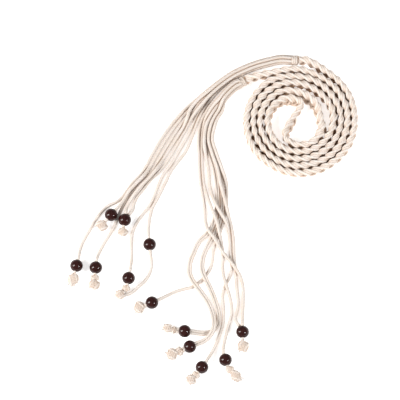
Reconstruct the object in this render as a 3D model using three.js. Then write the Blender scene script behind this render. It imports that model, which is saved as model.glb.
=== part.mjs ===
// A braided belt, wound into a flat coil that stands on its edge on a table. Each end of the
// braid is whipped with thread, and its strands run on as loose cords that carry wooden beads.
// Millimetres, +Z up, with the origin under the middle of the coil and its two whippings.

import * as THREE from 'three';

// The braid
const BRAID_THICKNESS = 6.4;
const BRAID_HEIGHT = 12;
const PLAIT_PITCH = 11;
const PLAIT_WAIST = 0.9;
const PLAIT_EDGE_DIP = 0.7;
const BRAID_FLAT = 0.72;

// The coil, which the two halves of the braid wind side by side. Angles count up along each
// half as it winds outward.
const LOOP_RADIUS = 33.4;
const TURN_CLEARANCE = 0.75;
const FIRST_TURN_A = -75;
const LAST_TURN_A = 780;
const FIRST_TURN_B = 112.5;
const LAST_TURN_B = 817.5;
const STATION_ANGLE = 15;
const HALF_TURN = 180;
const STRAIGHT_BY_WRAP = 7.5;

// The whippings
const WRAP_LENGTH = 8;
const WRAP_A_RADIUS = 5;
const WRAP_B_RADIUS = 5.2;
const WRAP_RIDGES = 3;
const WRAP_RIDGE_DEPTH = 0.4;
const WRAP_SIDES = 12;
const WRAP_A_ANGLE = 810;
const COIL_BELOW_WRAP = 2.2;
const COIL_BESIDE_WRAP = 5.4;

// The cords
const THIN_CORD = 2.8;
const THICK_CORD = 4.4;
const CORD_SIDES = 8;
const CORD_STEP = 3;
const BUNDLE_HEIGHT = 4.2;
const STRAIGHT_BY_BEAD = 1.5;
const SECOND_CORD_GAP = 0.45;
const LENGTH_SAMPLES = 10;

// The beads and knots
const BEAD_DIAMETER = 12;
const BEAD_HOLE_CLEARANCE = 0.55;
const BEAD_SIDES = 10;
const BEAD_BANDS = 4;
const KNOT_SIDES = 8;

// The gap between two pieces that touch on the real belt
const SEAT_GAP = 0.3;

// The innermost turn's outline: its radius in each direction, as a share of LOOP_RADIUS.
const LOOP_OUTLINE = [
  { angle: 0, share: 0.757 },
  { angle: 45, share: 0.636 },
  { angle: 90, share: 0.664 },
  { angle: 135, share: 0.838 },
  { angle: 180, share: 0.988 },
  { angle: 225, share: 1.045 },
  { angle: 270, share: 1.008 },
  { angle: 315, share: 0.892 },
];

// Where a half of the braid lies off its place in the coil, as a share of the turns' spacing.
const PULLS_A = [
  { angle: -75, share: -0.02 },
  { angle: -45, share: -0.22 },
  { angle: 0, share: -0.8 },
  { angle: 45, share: -0.26 },
  { angle: 90, share: -0.14 },
  { angle: 135, share: -0.04 },
  { angle: 180, share: 0 },
  { angle: 742, share: 0 },
  { angle: 780, share: 0.1 },
];
const PULLS_B = [
  { angle: 112.5, share: -0.28 },
  { angle: 135, share: -0.08 },
  { angle: 180, share: 0 },
  { angle: 832.5, share: 0 },
];

// The S in the middle of the coil, where one half passes into the other, from the coil's
// centre and as shares of LOOP_RADIUS.
const MIDDLE_S = [
  { x: -0.155, y: -0.885 },
  { x: -0.318, y: -0.822 },
  { x: -0.46, y: -0.71 },
  { x: -0.5, y: -0.545 },
  { x: -0.442, y: -0.364 },
  { x: -0.339, y: -0.182 },
  { x: -0.197, y: 0 },
  { x: -0.06, y: 0.17 },
  { x: 0.03, y: 0.305 },
  { x: -0.01, y: 0.45 },
];

// The braid's section along its length: at is a share of the length, thickness and height are
// shares of the braid's, and lean is how far the foot is set to the left of the top edge, as a
// share of the height.
const SECTIONS = [
  { at: 0, thickness: 1.3, height: 0.8, lean: 0 },
  { at: 0.012, thickness: 1.2, height: 0.86, lean: 0 },
  { at: 0.035, thickness: 1, height: 1, lean: 0 },
  { at: 0.44, thickness: 1, height: 1, lean: 0 },
  { at: 0.46, thickness: 1, height: 1, lean: -0.4 },
  { at: 0.476, thickness: 1, height: 1, lean: -0.45 },
  { at: 0.487, thickness: 1, height: 1, lean: -0.15 },
  { at: 0.52, thickness: 1, height: 1, lean: 0 },
  { at: 0.535, thickness: 1, height: 1, lean: -0.2 },
  { at: 0.547, thickness: 1, height: 1, lean: -0.35 },
  { at: 0.556, thickness: 1, height: 1, lean: 0 },
  { at: 0.564, thickness: 1, height: 1, lean: 0.3 },
  { at: 0.576, thickness: 1, height: 1, lean: 0.42 },
  { at: 0.592, thickness: 1, height: 1, lean: 0.25 },
  { at: 0.615, thickness: 1, height: 1, lean: 0 },
  { at: 0.965, thickness: 1, height: 1, lean: 0 },
  { at: 0.988, thickness: 1.15, height: 0.88, lean: 0 },
  { at: 1, thickness: 1.3, height: 0.84, lean: 0 },
];

// Each bundle of cords: the middle of its outer face at the whipping, then the middle of the
// bundle as it leaves, from above.
const BUNDLE_A = [
  [-6.3, 57.4], [-16.7, 58], [-28.7, 55.6], [-40.7, 52.3], [-51.7, 48], [-63.7, 42.1], [-74.5, 34.7],
];
const BUNDLE_B = [
  [-58.8, 33], [-61.7, 31.6], [-65, 29.1], [-70.6, 23.7], [-75.7, 17.3],
];

// Each cord: its lane in the bundle, as millimetres across to the right of its run and up from
// the bundle's middle, then the points that it passes on its way to its bead, and past it.
const CORDS_A = [
  {
    name: 'a1', diameter: THIN_CORD, lane: [3.3, 0],
    points: [
      [-88.6, 27.7, 4.3], [-100.2, 18, 3], [-112.2, 7.8, 1.4], [-120.2, -0.9, 1.4],
      [-127.2, -9.6, 1.4], [-136.9, -23.9, 1.4], [-145.9, -39.7, 1.4], [-151.2, -50, 1.4],
      [-157.2, -59.7, 1.4], [-165.2, -68.4, 1.4], [-171.2, -76.5, 1.4], [-176.2, -83.7, 1.4],
      [-182.2, -88, 1.4], [-188.2, -90.8, 1.4], [-193.9, -95.1, 1.4], [-198.9, -101.1, 1.4],
      [-203.7, -108.2, 1.4], [-207.7, -116.2, 1.4], [-211.7, -123, 1.4], [-215.2, -130.2, 1.6],
      [-217.5, -137.4, 3.2],
    ],
  },
  {
    name: 'a2', diameter: THIN_CORD, lane: [1.65, -2.8],
    points: [
      [-89.5, 24.3, 1.6], [-98.7, 14.3, 1.4], [-110.2, 4.7, 1.4], [-116.7, -2.4, 1.4],
      [-123.1, -10.6, 1.4], [-132.8, -25.4, 1.4], [-141.9, -41.3, 1.4], [-147.7, -52, 1.9],
      [-154.2, -61.2, 4.2], [-161.9, -69.4, 4.5], [-168.7, -77, 4.5], [-172.9, -84.2, 4.5],
      [-176.5, -90, 5],
    ],
  },
  {
    name: 'a3', diameter: THIN_CORD, lane: [0, 0],
    points: [
      [-87.7, 23.1, 4.6], [-97.5, 13.8, 4.8], [-105.9, 3, 2], [-113.3, -5, 1.4],
      [-119.5, -12.4, 1.4], [-128.7, -26.9, 1.4], [-137.7, -42.3, 1.4], [-143.7, -53, 1.4],
      [-151.2, -62.7, 1.4], [-159.7, -71.4, 1.4], [-166.7, -78.6, 1.4], [-171.7, -85.7, 1.4],
      [-175.2, -92.9, 1.4], [-178.4, -100, 1.4], [-181.2, -107.2, 1.4], [-184.2, -114.4, 1.4],
      [-188.2, -121.5, 1.4], [-192.7, -128.7, 1.4], [-196.7, -136.3, 1.7], [-199.2, -142, 3.1],
    ],
  },
  {
    name: 'a4', diameter: THIN_CORD, lane: [1.65, 2.85],
    points: [
      [-88.3, 25.5, 7.4], [-98.7, 17, 6], [-107.7, 6.3, 4.9], [-110.5, -2.3, 5],
      [-114.2, -10.9, 2.9], [-124.9, -28.5, 1.4], [-134.1, -43.4, 1.4], [-141.7, -55.1, 4.5],
      [-149.2, -64.1, 4.6], [-157.2, -72.4, 4.6], [-163.7, -80.6, 4], [-168.2, -87.8, 3],
      [-170.9, -93.9, 3.8],
    ],
  },
  {
    name: 'a5', diameter: THIN_CORD, lane: [-1.65, 2.85], endsOn: 'a4',
    points: [
      [-85.7, 22.6, 7.7], [-94.7, 12.9, 6.9], [-103.2, 2.2, 4.9], [-108.5, -6, 3],
      [-112.5, -14.2, 1.4], [-121.1, -30, 1.4], [-130.5, -46.1, 1.4], [-139.3, -57.3, 1.4],
      [-147.9, -65.7, 1.4], [-154.7, -75, 1.4], [-160.7, -82.7, 1.4], [-163.7, -89.8, 1.8],
      [-164.9, -96, 3.8],
    ],
  },
  {
    name: 'a6', diameter: THIN_CORD, lane: [-1.65, -2.8],
    points: [
      [-86.1, 21.6, 1.4], [-95.3, 11.6, 1.4], [-101.1, 1.2, 1.4], [-105.7, -10.1, 1.4],
      [-111.5, -22.9, 1.4], [-119.3, -36.7, 1.4], [-127.7, -50.6, 1.4], [-134.5, -59.8, 1.4],
      [-138.3, -67.9, 1.4], [-141.2, -75.5, 1.4], [-144.4, -83.7, 1.4], [-148.7, -91.9, 1.4],
      [-154.2, -99.5, 1.4], [-159.7, -107.2, 1.4], [-163.9, -115.4, 1.4], [-166.1, -124.6, 1.4],
      [-166.1, -134.8, 1.4], [-165.9, -144, 1.8], [-166.5, -151.2, 3.4],
    ],
  },
  {
    name: 'a7', diameter: THIN_CORD, lane: [-3.3, 0],
    points: [
      [-83.9, 20.4, 4.4], [-91.5, 10.8, 1.4], [-97.5, 1.2, 1.4], [-101.7, -9.3, 1.4],
      [-106.2, -22.3, 1.4], [-112.2, -36.1, 1.4], [-120.5, -47.3, 1.4], [-127.3, -57.1, 1.4],
      [-131.5, -66.3, 1.4], [-135.9, -75.5, 1.4], [-140.5, -84.7, 1.4], [-144.9, -92.9, 1.4],
      [-147.5, -102.1, 1.4], [-148.7, -110.3, 2], [-149, -117.9, 3.9],
    ],
    after: [
      [-146.6, -144.5, 4.8], [-146.1, -152.7, 2.2], [-148.1, -160.9, 1.4], [-152.5, -168, 1.4],
      [-159.1, -174.1, 1.4], [-166.3, -180.4, 1.6], [-173.1, -182.9, 2.8],
    ],
  },
];

const CORDS_B = [
  {
    name: 'b1', diameter: THIN_CORD, lane: [-3.35, 2.05],
    points: [
      [-75.3, 5.1, 5.3], [-79.9, -2.4, 5.6], [-82.9, -11, 6], [-85.2, -24.4, 6],
      [-81.3, -38.2, 6], [-75.9, -53.5, 5.8], [-71.4, -68.4, 3.2], [-70.9, -81.6, 1.4],
      [-71.7, -94.4, 1.4], [-74, -107.2, 1.4], [-77.7, -118.4, 1.4], [-81.7, -127.6, 1.4],
      [-84.3, -136.8, 1.4], [-85.1, -146.1, 1.4], [-87.3, -155.3, 1.4], [-92.5, -163.4, 1.4],
      [-98.7, -170, 1.4], [-106.1, -174.5, 1.4], [-114.7, -176.7, 1.4], [-122.9, -179.4, 1.6],
      [-130.1, -183.3, 3.5],
    ],
  },
  {
    name: 'b2', diameter: THICK_CORD, lane: [-2.45, -1.95],
    points: [
      [-77.9, 6.5, 2.2], [-81.6, -1.4, 2.2], [-84.7, -10.6, 2.2], [-86.3, -24.4, 2.2],
      [-82.7, -38.2, 2.2], [-77.9, -54, 2.2], [-75.7, -69.9, 2.2], [-75, -83.7, 2.2],
      [-75.8, -96, 2.2], [-78.2, -107.2, 2.2], [-81.5, -116.9, 2.2], [-85.9, -125.1, 2.2],
      [-90.3, -133.3, 2.2], [-93.9, -142, 2.2], [-95.7, -151.2, 2.9], [-94.9, -159.9, 5.5],
      [-91.1, -168.7, 5.5], [-86.7, -177.7, 2.4], [-83.1, -186.9, 2.2], [-80.3, -196.1, 2.2],
      [-78.9, -205.9, 2.2], [-81.1, -214.5, 2.2], [-87.1, -219.9, 2.2], [-94.1, -221.5, 3],
      [-100.7, -221.3, 4.8],
    ],
  },
  {
    name: 'b3', diameter: THICK_CORD, lane: [2.45, -1.95],
    points: [
      [-82.4, 7.9, 2.2], [-86.5, 0.1, 2.2], [-89.7, -9.6, 2.2], [-91.9, -24.4, 2.2],
      [-87.3, -39.7, 2.2], [-82.7, -55.1, 2.2], [-80.5, -70.4, 2.2], [-79.9, -83.7, 2.2],
      [-80.7, -94.9, 2.2], [-82.7, -105.2, 2.2], [-85.9, -114.4, 2.2], [-91.3, -121, 2.2],
      [-97.1, -126.4, 2.2], [-101.3, -133.3, 2.2], [-104.7, -141.4, 2.2], [-107.5, -149.1, 2.2],
      [-108.3, -157.3, 2.4], [-106.5, -165.5, 4.2], [-101.5, -173.7, 5.6], [-95.7, -181, 3.4],
      [-90.7, -188.5, 2.2], [-86.7, -196.7, 2.3], [-84.1, -206.4, 4.6], [-83.9, -215.1, 7],
      [-86.7, -223.1, 6.9], [-93.1, -229.2, 5.8],
    ],
  },
  {
    name: 'b4', diameter: THIN_CORD, lane: [0, 1.3],
    points: [
      [-81.8, 8.1, 6.2], [-86.8, 0.1, 6.1], [-91.4, -9.6, 6], [-93.5, -24.4, 5.9],
      [-93, -33.6, 5.5], [-91.5, -42.3, 2.4], [-89.1, -55.1, 1.4], [-88.1, -69.4, 1.4],
      [-86.1, -78.6, 3.2], [-83.1, -88.3, 6.1], [-79.1, -96, 6.3], [-75.1, -102.6, 6],
      [-71.4, -109.2, 4.4], [-68.9, -117.9, 1.6], [-67.7, -128.7, 1.4], [-67.4, -138.4, 1.4],
      [-66.9, -147.6, 1.4], [-66.3, -155.8, 1.4], [-68.2, -164.5, 1.4], [-72.3, -172.1, 1.4],
      [-74.9, -180.8, 1.4], [-74.7, -191, 1.4], [-73.9, -201.3, 1.4], [-74.9, -212, 1.4],
      [-77.9, -222.2, 1.4], [-81.3, -231.4, 1.6], [-85.1, -239.6, 2.8], [-88.8, -245.8, 4.7],
    ],
  },
  {
    name: 'b5', diameter: THIN_CORD, lane: [1.7, 4.85],
    points: [
      [-83.9, 10.8, 6.9], [-89.5, 2.2, 5.3], [-92.4, -3.9, 3.8], [-94.3, -11.6, 1.5],
      [-95.7, -24.4, 1.4], [-95.6, -39.7, 1.4], [-95.1, -55.1, 1.4], [-93.7, -69.4, 1.5],
      [-90.7, -81.1, 3.6], [-87.1, -91.9, 6], [-83.5, -101.6, 6.2], [-80.5, -110.3, 6.2],
      [-78.7, -117.9, 5.6], [-77.2, -125.6, 3.3], [-75.7, -133.8, 1.4], [-74.9, -143, 1.4],
      [-75.1, -152.2, 1.4], [-74.5, -161.4, 3.3], [-72.3, -171, 4.8], [-69.2, -180.3, 2.6],
      [-66.7, -191, 1.4], [-66.4, -201.3, 1.4], [-68.7, -211.5, 1.4], [-71.3, -221.7, 1.6],
      [-73.3, -229.9, 2.8], [-74.2, -236, 4.6],
    ],
  },
  {
    name: 'b6', diameter: THIN_CORD, lane: [3.35, 2.05],
    points: [
      [-87.7, 10.2, 3.4], [-93.2, 0.7, 1.4], [-97.5, -9.6, 1.4], [-99, -24.4, 1.4],
      [-98.9, -39.7, 1.4], [-98.3, -55.1, 1.4], [-97.1, -70.4, 1.4], [-94.7, -83.7, 1.4],
      [-93.3, -93.9, 1.4], [-92.7, -103.1, 1.6], [-91.6, -111.3, 3.9], [-88.9, -118.2, 6.4],
      [-83.7, -124.8, 6.4], [-79.7, -131.7, 5.2], [-75.7, -138.4, 4.6], [-70.7, -144.8, 4.7],
      [-65.9, -150.8, 4.7], [-61.3, -157.3, 4.7], [-57.5, -164, 2.6], [-55.1, -172.6, 1.4],
      [-54.5, -182.9, 1.4], [-54.8, -193.1, 1.4], [-55.1, -201.3, 2.3], [-55.3, -208.2, 4.4],
    ],
  },
  {
    name: 'b7', diameter: THIN_CORD, lane: [-1.7, 4.85], endsOn: 'b6',
    points: [
      [-78.5, 6.6, 6.7], [-83.1, -1.1, 6.1], [-87.1, -10.1, 5.8], [-89.1, -24.4, 5.6],
      [-85.3, -39.2, 5.7], [-80.1, -54.6, 5.6], [-77.3, -69.4, 6.2], [-73.7, -82.7, 6],
      [-71.1, -92.9, 5.6], [-68.9, -103.1, 3.4], [-66.5, -112.3, 1.4], [-64.7, -122.5, 1.4],
      [-63.9, -132.8, 1.4], [-63.7, -143, 1.4], [-62.7, -152.2, 1.4], [-62.1, -161.4, 1.4],
      [-61.3, -170.6, 1.4], [-60.5, -180.8, 1.4], [-59.5, -191, 1.4], [-60.7, -199.7, 1.8],
      [-62.5, -207.4, 3.8],
    ],
  },
];

// Each bead: where it lies, which way its hole points along the cord, how far the cord shows
// past it, and the knot behind it, which way that lies and its size.
const BEADS = [
  { cord: 'a1', x: -220.8, y: -153.5, heading: -104, run: 1, knotHeading: -103, knot: [12, 9.5, 8] },
  { cord: 'a2', x: -186.5, y: -101.7, heading: -131, run: 2.6, knotHeading: -131, knot: [9.5, 10.5, 8] },
  { cord: 'a3', x: -201.6, y: -155.4, heading: -97, run: 0.6, knotHeading: -94, knot: [13.5, 10, 8.5] },
  { cord: 'a4', x: -172.9, y: -106.9, heading: -99, run: 1.4, knotHeading: -99, knot: [8, 9, 7.5] },
  { cord: 'a6', x: -168.9, y: -166.1, heading: -101, run: 0.9, knotHeading: -110, knot: [6.5, 7.6, 6.5] },
  { cord: 'a7', x: -148, y: -131.9, heading: -85, run: 0.4, knotHeading: 176, knot: [8.5, 9, 8] },
  { cord: 'b1', x: -145.6, y: -191, heading: -157, run: 1.6, knotHeading: -165, knot: [10, 11, 8] },
  { cord: 'b2', x: -113, y: -219.9, heading: 173, run: 1.6, knotHeading: 165, knot: [12.5, 8, 7] },
  { cord: 'b3', x: -107.9, y: -235.6, heading: -158, run: 1.1, knotHeading: -158, knot: [15, 10.5, 8] },
  { cord: 'b4', x: -95.8, y: -256.4, heading: -126, run: 0.4, knotHeading: -136, knot: [12.5, 9.5, 8] },
  { cord: 'b5', x: -72.4, y: -248.9, heading: -74, run: 0.4, knotHeading: -48, knot: [16.5, 9, 7.5] },
  { cord: 'b6', x: -55.4, y: -220.7, heading: -88, run: 1.7, knotHeading: -87, knot: [11, 10, 8.5] },
];

// The braid's cross-section, as shares of its thickness and height there.
const BRAID_SECTION = [
  { across: -BRAID_FLAT / 2, up: 0 },
  { across: BRAID_FLAT / 2, up: 0 },
  { across: 0.5, up: 0.45 },
  { across: 0.34, up: 1 },
  { across: -0.34, up: 1 },
  { across: -0.5, up: 0.45 },
];

// A knot's outline: the share of its length from its middle, and the share of its half width.
const KNOT_OUTLINE = [
  { along: -0.5, out: 0 },
  { along: -0.4, out: 0.62 },
  { along: -0.1, out: 1 },
  { along: 0.3, out: 0.82 },
  { along: 0.5, out: 0 },
];

const cotton = () => new THREE.MeshStandardMaterial({ color: 0xf3e6d6, roughness: 0.9 });
const thread = () => new THREE.MeshStandardMaterial({ color: 0xf7efe3, roughness: 0.85 });
const darkWood = () => new THREE.MeshStandardMaterial({ color: 0x3a1410, roughness: 0.25 });

const UP = new THREE.Vector3(0, 0, 1);

function direction(degrees) {
  const angle = THREE.MathUtils.degToRad(degrees);
  return new THREE.Vector3(Math.cos(angle), Math.sin(angle), 0);
}

function flatPoint([x, y], z = 0) {
  return new THREE.Vector3(x, y, z);
}

// The value of a column at a place between two rows of a table, eased from one to the next.
function eased(rows, placeColumn, place, column) {
  const next = rows.findIndex((row) => row[placeColumn] > place);
  if (next === 0) return rows[0][column];
  if (next < 0) return rows.at(-1)[column];
  const [before, after] = [rows[next - 1], rows[next]];
  const share = THREE.MathUtils.smoothstep(place, before[placeColumn], after[placeColumn]);
  return THREE.MathUtils.lerp(before[column], after[column], share);
}

const outlineRows = [-360, 0, 360].flatMap((turn) =>
  LOOP_OUTLINE.map((row) => ({ angle: row.angle + turn, share: row.share })));
const outline = new THREE.CubicInterpolant(
  outlineRows.map((row) => row.angle), outlineRows.map((row) => row.share), 1);
const turnSpacing = BRAID_THICKNESS + TURN_CLEARANCE;

// How far a half of the braid lies from the coil's centre. It starts its first half turn at
// the angle start, and each half turn takes it out by the turns' spacing.
function coilRadius(angle, start, pulls) {
  const loop = LOOP_RADIUS * outline.evaluate(THREE.MathUtils.euclideanModulo(angle, 360))[0];
  const turns = (angle - start) / 180 + eased(pulls, 'angle', angle, 'share');
  return loop + turnSpacing * turns;
}

// A whipping lies against the first point of its bundle of cords, in line with it.
function wrapPlace(bundle, radius) {
  const start = flatPoint(bundle[0]);
  const along = flatPoint(bundle[1]).sub(start).normalize();
  const middle = start.clone().addScaledVector(along, -SEAT_GAP - WRAP_LENGTH / 2);
  const braidEnd = middle.clone().addScaledVector(along, -SEAT_GAP - WRAP_LENGTH / 2);
  return { middle: middle.setZ(radius), along, braidEnd };
}

const wrapA = wrapPlace(BUNDLE_A, WRAP_A_RADIUS);
const wrapB = wrapPlace(BUNDLE_B, WRAP_B_RADIUS);

// The coil lies under the first whipping, which rides just outside the second half's last turn.
const lastTurnB = coilRadius(WRAP_A_ANGLE, HALF_TURN, PULLS_B) + BRAID_THICKNESS / 2;
const coilCentre = new THREE.Vector3(
  wrapA.middle.x + COIL_BESIDE_WRAP,
  wrapA.middle.y - WRAP_A_RADIUS - COIL_BELOW_WRAP - lastTurnB,
  0,
);

function coilPoint(angle, start, pulls) {
  return direction(angle).multiplyScalar(coilRadius(angle, start, pulls)).add(coilCentre);
}

// From the first whipping inward, through the S, and outward to the second whipping.
function braidPath() {
  const points = [
    wrapA.braidEnd.clone(),
    wrapA.braidEnd.clone().addScaledVector(wrapA.along, -STRAIGHT_BY_WRAP),
  ];
  for (let angle = LAST_TURN_A; angle >= FIRST_TURN_A; angle -= STATION_ANGLE) {
    points.push(coilPoint(angle, 0, PULLS_A));
  }
  for (const row of MIDDLE_S) {
    points.push(new THREE.Vector3(row.x, row.y, 0).multiplyScalar(LOOP_RADIUS).add(coilCentre));
  }
  for (let angle = FIRST_TURN_B; angle <= LAST_TURN_B; angle += STATION_ANGLE) {
    points.push(coilPoint(angle, HALF_TURN, PULLS_B));
  }
  points.push(wrapB.braidEnd.clone().addScaledVector(wrapB.along, -STRAIGHT_BY_WRAP));
  points.push(wrapB.braidEnd.clone());
  const path = new THREE.CatmullRomCurve3(points, false, 'centripetal');
  path.arcLengthDivisions = points.length * LENGTH_SAMPLES;
  return path;
}

// One cross-section of the braid. Between two crossings of its strands it is a little thinner,
// and its top edge dips.
function braidRing(point, along, at, isWaist) {
  const left = new THREE.Vector3().crossVectors(UP, along);
  const column = (name) => eased(SECTIONS, 'at', at, name);
  const thickness = BRAID_THICKNESS * column('thickness') * (isWaist ? PLAIT_WAIST : 1);
  const height = BRAID_HEIGHT * column('height') - (isWaist ? PLAIT_EDGE_DIP : 0);
  const lean = BRAID_HEIGHT * column('lean');
  return BRAID_SECTION.map(({ across, up }) => point.clone()
    .addScaledVector(left, across * thickness + lean * (1 - up))
    .addScaledVector(UP, up * height));
}

// A closed solid through a row of rings that each have the same number of points.
function loft(rings) {
  const sides = rings[0].length;
  const corners = rings.flat().flatMap((corner) => corner.toArray());
  const faces = [];
  for (let ring = 0; ring < rings.length - 1; ring += 1) {
    for (let side = 0; side < sides; side += 1) {
      const a = ring * sides + side;
      const b = ring * sides + (side + 1) % sides;
      faces.push(a, b, b + sides, a, b + sides, a + sides);
    }
  }
  const last = (rings.length - 1) * sides;
  for (let side = 1; side < sides - 1; side += 1) {
    faces.push(0, side + 1, side, last, last + side, last + side + 1);
  }
  const geometry = new THREE.BufferGeometry();
  geometry.setAttribute('position', new THREE.Float32BufferAttribute(corners, 3));
  geometry.setIndex(faces);
  geometry.computeVertexNormals();
  return geometry;
}

function braid() {
  const path = braidPath();
  const steps = 2 * Math.round(path.getLength() / PLAIT_PITCH);
  const rings = [];
  for (let step = 0; step <= steps; step += 1) {
    const at = step / steps;
    const along = path.getTangentAt(at).normalize();
    rings.push(braidRing(path.getPointAt(at), along, at, step % 2 === 1));
  }
  return named('braid', new THREE.Mesh(loft(rings), cotton()));
}

function named(name, mesh) {
  mesh.name = name;
  return mesh;
}

// Lays a piece that was turned round Y on its side, with its axis pointing along.
function layAlong(mesh, along, place) {
  const across = new THREE.Vector3().crossVectors(along, UP);
  mesh.setRotationFromMatrix(new THREE.Matrix4().makeBasis(across, along, UP));
  mesh.position.copy(place);
  return mesh;
}

function wrap(name, place, radius) {
  const profile = [new THREE.Vector2(0, -WRAP_LENGTH / 2)];
  const halfRidge = WRAP_LENGTH / WRAP_RIDGES / 2;
  for (let mark = 0; mark <= 2 * WRAP_RIDGES; mark += 1) {
    const out = mark % 2 === 1 ? radius : radius - WRAP_RIDGE_DEPTH;
    profile.push(new THREE.Vector2(out, -WRAP_LENGTH / 2 + mark * halfRidge));
  }
  profile.push(new THREE.Vector2(0, WRAP_LENGTH / 2));
  const barrel = new THREE.Mesh(new THREE.LatheGeometry(profile, WRAP_SIDES), thread());
  return layAlong(named(name, barrel), place.along, place.middle);
}

const beadOf = new Map(BEADS.map((row) => [row.cord, row]));

function beadCentre(row) {
  return new THREE.Vector3(row.x, row.y, BEAD_DIAMETER / 2);
}

// The cord's way along its bundle, which lies level above the table.
function lanePoints(bundle, [across, up]) {
  const middles = bundle.map((point) => flatPoint(point, BUNDLE_HEIGHT));
  return middles.map((middle, index) => {
    const before = middles[Math.max(index - 1, 0)];
    const after = middles[Math.min(index + 1, middles.length - 1)];
    const along = after.clone().sub(before).normalize();
    const right = new THREE.Vector3().crossVectors(along, UP);
    return middle.clone().addScaledVector(right, across).addScaledVector(UP, up);
  });
}

function cordRoute(bundle, row) {
  const points = lanePoints(bundle, row.lane);
  for (const point of row.points) points.push(new THREE.Vector3(...point));
  if (row.endsOn) {
    const centre = beadCentre(beadOf.get(row.endsOn));
    const towards = points.at(-1).clone().sub(centre).normalize();
    points.push(centre.addScaledVector(towards, BEAD_DIAMETER / 2 + SECOND_CORD_GAP));
    return points;
  }
  const bead = beadOf.get(row.name);
  const centre = beadCentre(bead);
  const along = direction(bead.heading);
  points.push(centre.clone().addScaledVector(along, -BEAD_DIAMETER / 2 - STRAIGHT_BY_BEAD));
  points.push(centre.clone());
  points.push(centre.clone().addScaledVector(along, BEAD_DIAMETER / 2 + bead.run));
  for (const point of row.after ?? []) points.push(new THREE.Vector3(...point));
  return points;
}

// A curve that never sinks the cord into the table.
class TableCurve extends THREE.CatmullRomCurve3 {
  constructor(points, lowest) {
    super(points, false, 'centripetal');
    this.lowest = lowest;
  }

  getPoint(share, target) {
    const point = super.getPoint(share, target);
    point.z = Math.max(point.z, this.lowest);
    return point;
  }
}

function cord(bundle, row) {
  const radius = row.diameter / 2;
  const curve = new TableCurve(cordRoute(bundle, row), radius);
  curve.arcLengthDivisions = curve.points.length * LENGTH_SAMPLES;
  const section = new THREE.Shape();
  for (let side = 0; side < CORD_SIDES; side += 1) {
    const angle = side * 2 * Math.PI / CORD_SIDES;
    const [x, y] = [radius * Math.cos(angle), radius * Math.sin(angle)];
    if (side === 0) section.moveTo(x, y);
    else section.lineTo(x, y);
  }
  section.closePath();
  const steps = Math.ceil(curve.getLength() / (CORD_STEP * row.diameter));
  const tube = new THREE.ExtrudeGeometry(section, { steps, extrudePath: curve, bevelEnabled: false });
  return named(`cord_${row.name}`, new THREE.Mesh(tube, thread()));
}

function bead(row, cordDiameter) {
  const hole = cordDiameter / 2 + BEAD_HOLE_CLEARANCE;
  const radius = BEAD_DIAMETER / 2;
  const rim = Math.acos(hole / radius);
  const profile = [];
  for (let band = 0; band <= BEAD_BANDS; band += 1) {
    const angle = rim * (2 * band / BEAD_BANDS - 1);
    profile.push(new THREE.Vector2(radius * Math.cos(angle), radius * Math.sin(angle)));
  }
  profile.push(profile[0].clone());
  const ball = new THREE.Mesh(new THREE.LatheGeometry(profile, BEAD_SIDES), darkWood());
  return layAlong(named(`bead_${row.cord}`, ball), direction(row.heading), beadCentre(row));
}

function knot(row, end) {
  const [length, width, height] = row.knot;
  const along = direction(row.knotHeading);
  const profile = KNOT_OUTLINE.map(({ along: share, out }) => new THREE.Vector2(out, share));
  const lump = new THREE.Mesh(new THREE.LatheGeometry(profile, KNOT_SIDES), thread());
  lump.scale.set(width / 2, length, height / 2);
  const place = end.clone().addScaledVector(along, SEAT_GAP + length / 2).setZ(height / 2);
  return layAlong(named(`knot_${row.cord}`, lump), along, place);
}

function tail(bundle, rows) {
  const group = new THREE.Group();
  for (const row of rows) {
    group.add(cord(bundle, row));
    const beadRow = beadOf.get(row.name);
    if (!beadRow) continue;
    const cordEnd = cordRoute(bundle, row).at(-1);
    group.add(bead(beadRow, row.diameter), knot(beadRow, cordEnd));
  }
  return group;
}

const belt = new THREE.Group();
const coil = new THREE.Group();
coil.add(braid(), wrap('end_wrap_1', wrapA, WRAP_A_RADIUS), wrap('end_wrap_2', wrapB, WRAP_B_RADIUS));
belt.add(coil, tail(BUNDLE_A, CORDS_A), tail(BUNDLE_B, CORDS_B));

// The origin stays under the middle of the coil and its whippings.
const middle = new THREE.Box3().setFromObject(coil, true).getCenter(new THREE.Vector3());
belt.position.set(-middle.x, -middle.y, 0);

export default belt;
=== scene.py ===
"""A coiled braided belt with beaded cord ends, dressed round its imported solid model."""

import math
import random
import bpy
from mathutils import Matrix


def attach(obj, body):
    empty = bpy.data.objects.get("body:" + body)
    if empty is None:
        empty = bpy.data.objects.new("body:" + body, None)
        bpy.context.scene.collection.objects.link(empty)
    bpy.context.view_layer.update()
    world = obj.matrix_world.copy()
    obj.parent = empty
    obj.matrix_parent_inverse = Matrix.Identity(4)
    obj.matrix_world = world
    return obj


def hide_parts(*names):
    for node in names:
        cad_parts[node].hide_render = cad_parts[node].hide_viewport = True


bl_info = {
    "name": "Braided Belt",
    "version": (1, 0, 0),
    "blender": (4, 5, 0),
    "location": "View3D > Sidebar > Belt",
    "description": "Builds a coiled braided belt with beaded cord ends round its solid model",
    "category": "Add Mesh",
}

import bpy
import numpy as np
from mathutils import Vector
from mathutils.kdtree import KDTree

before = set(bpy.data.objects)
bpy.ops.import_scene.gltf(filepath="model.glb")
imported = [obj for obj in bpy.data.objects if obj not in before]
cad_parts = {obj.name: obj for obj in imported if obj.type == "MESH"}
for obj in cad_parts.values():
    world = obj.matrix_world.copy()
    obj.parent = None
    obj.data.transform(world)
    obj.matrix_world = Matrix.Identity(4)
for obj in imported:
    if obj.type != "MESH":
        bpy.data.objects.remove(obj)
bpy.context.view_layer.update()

UP = np.array((0.0, 0.0, 1.0))

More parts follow.
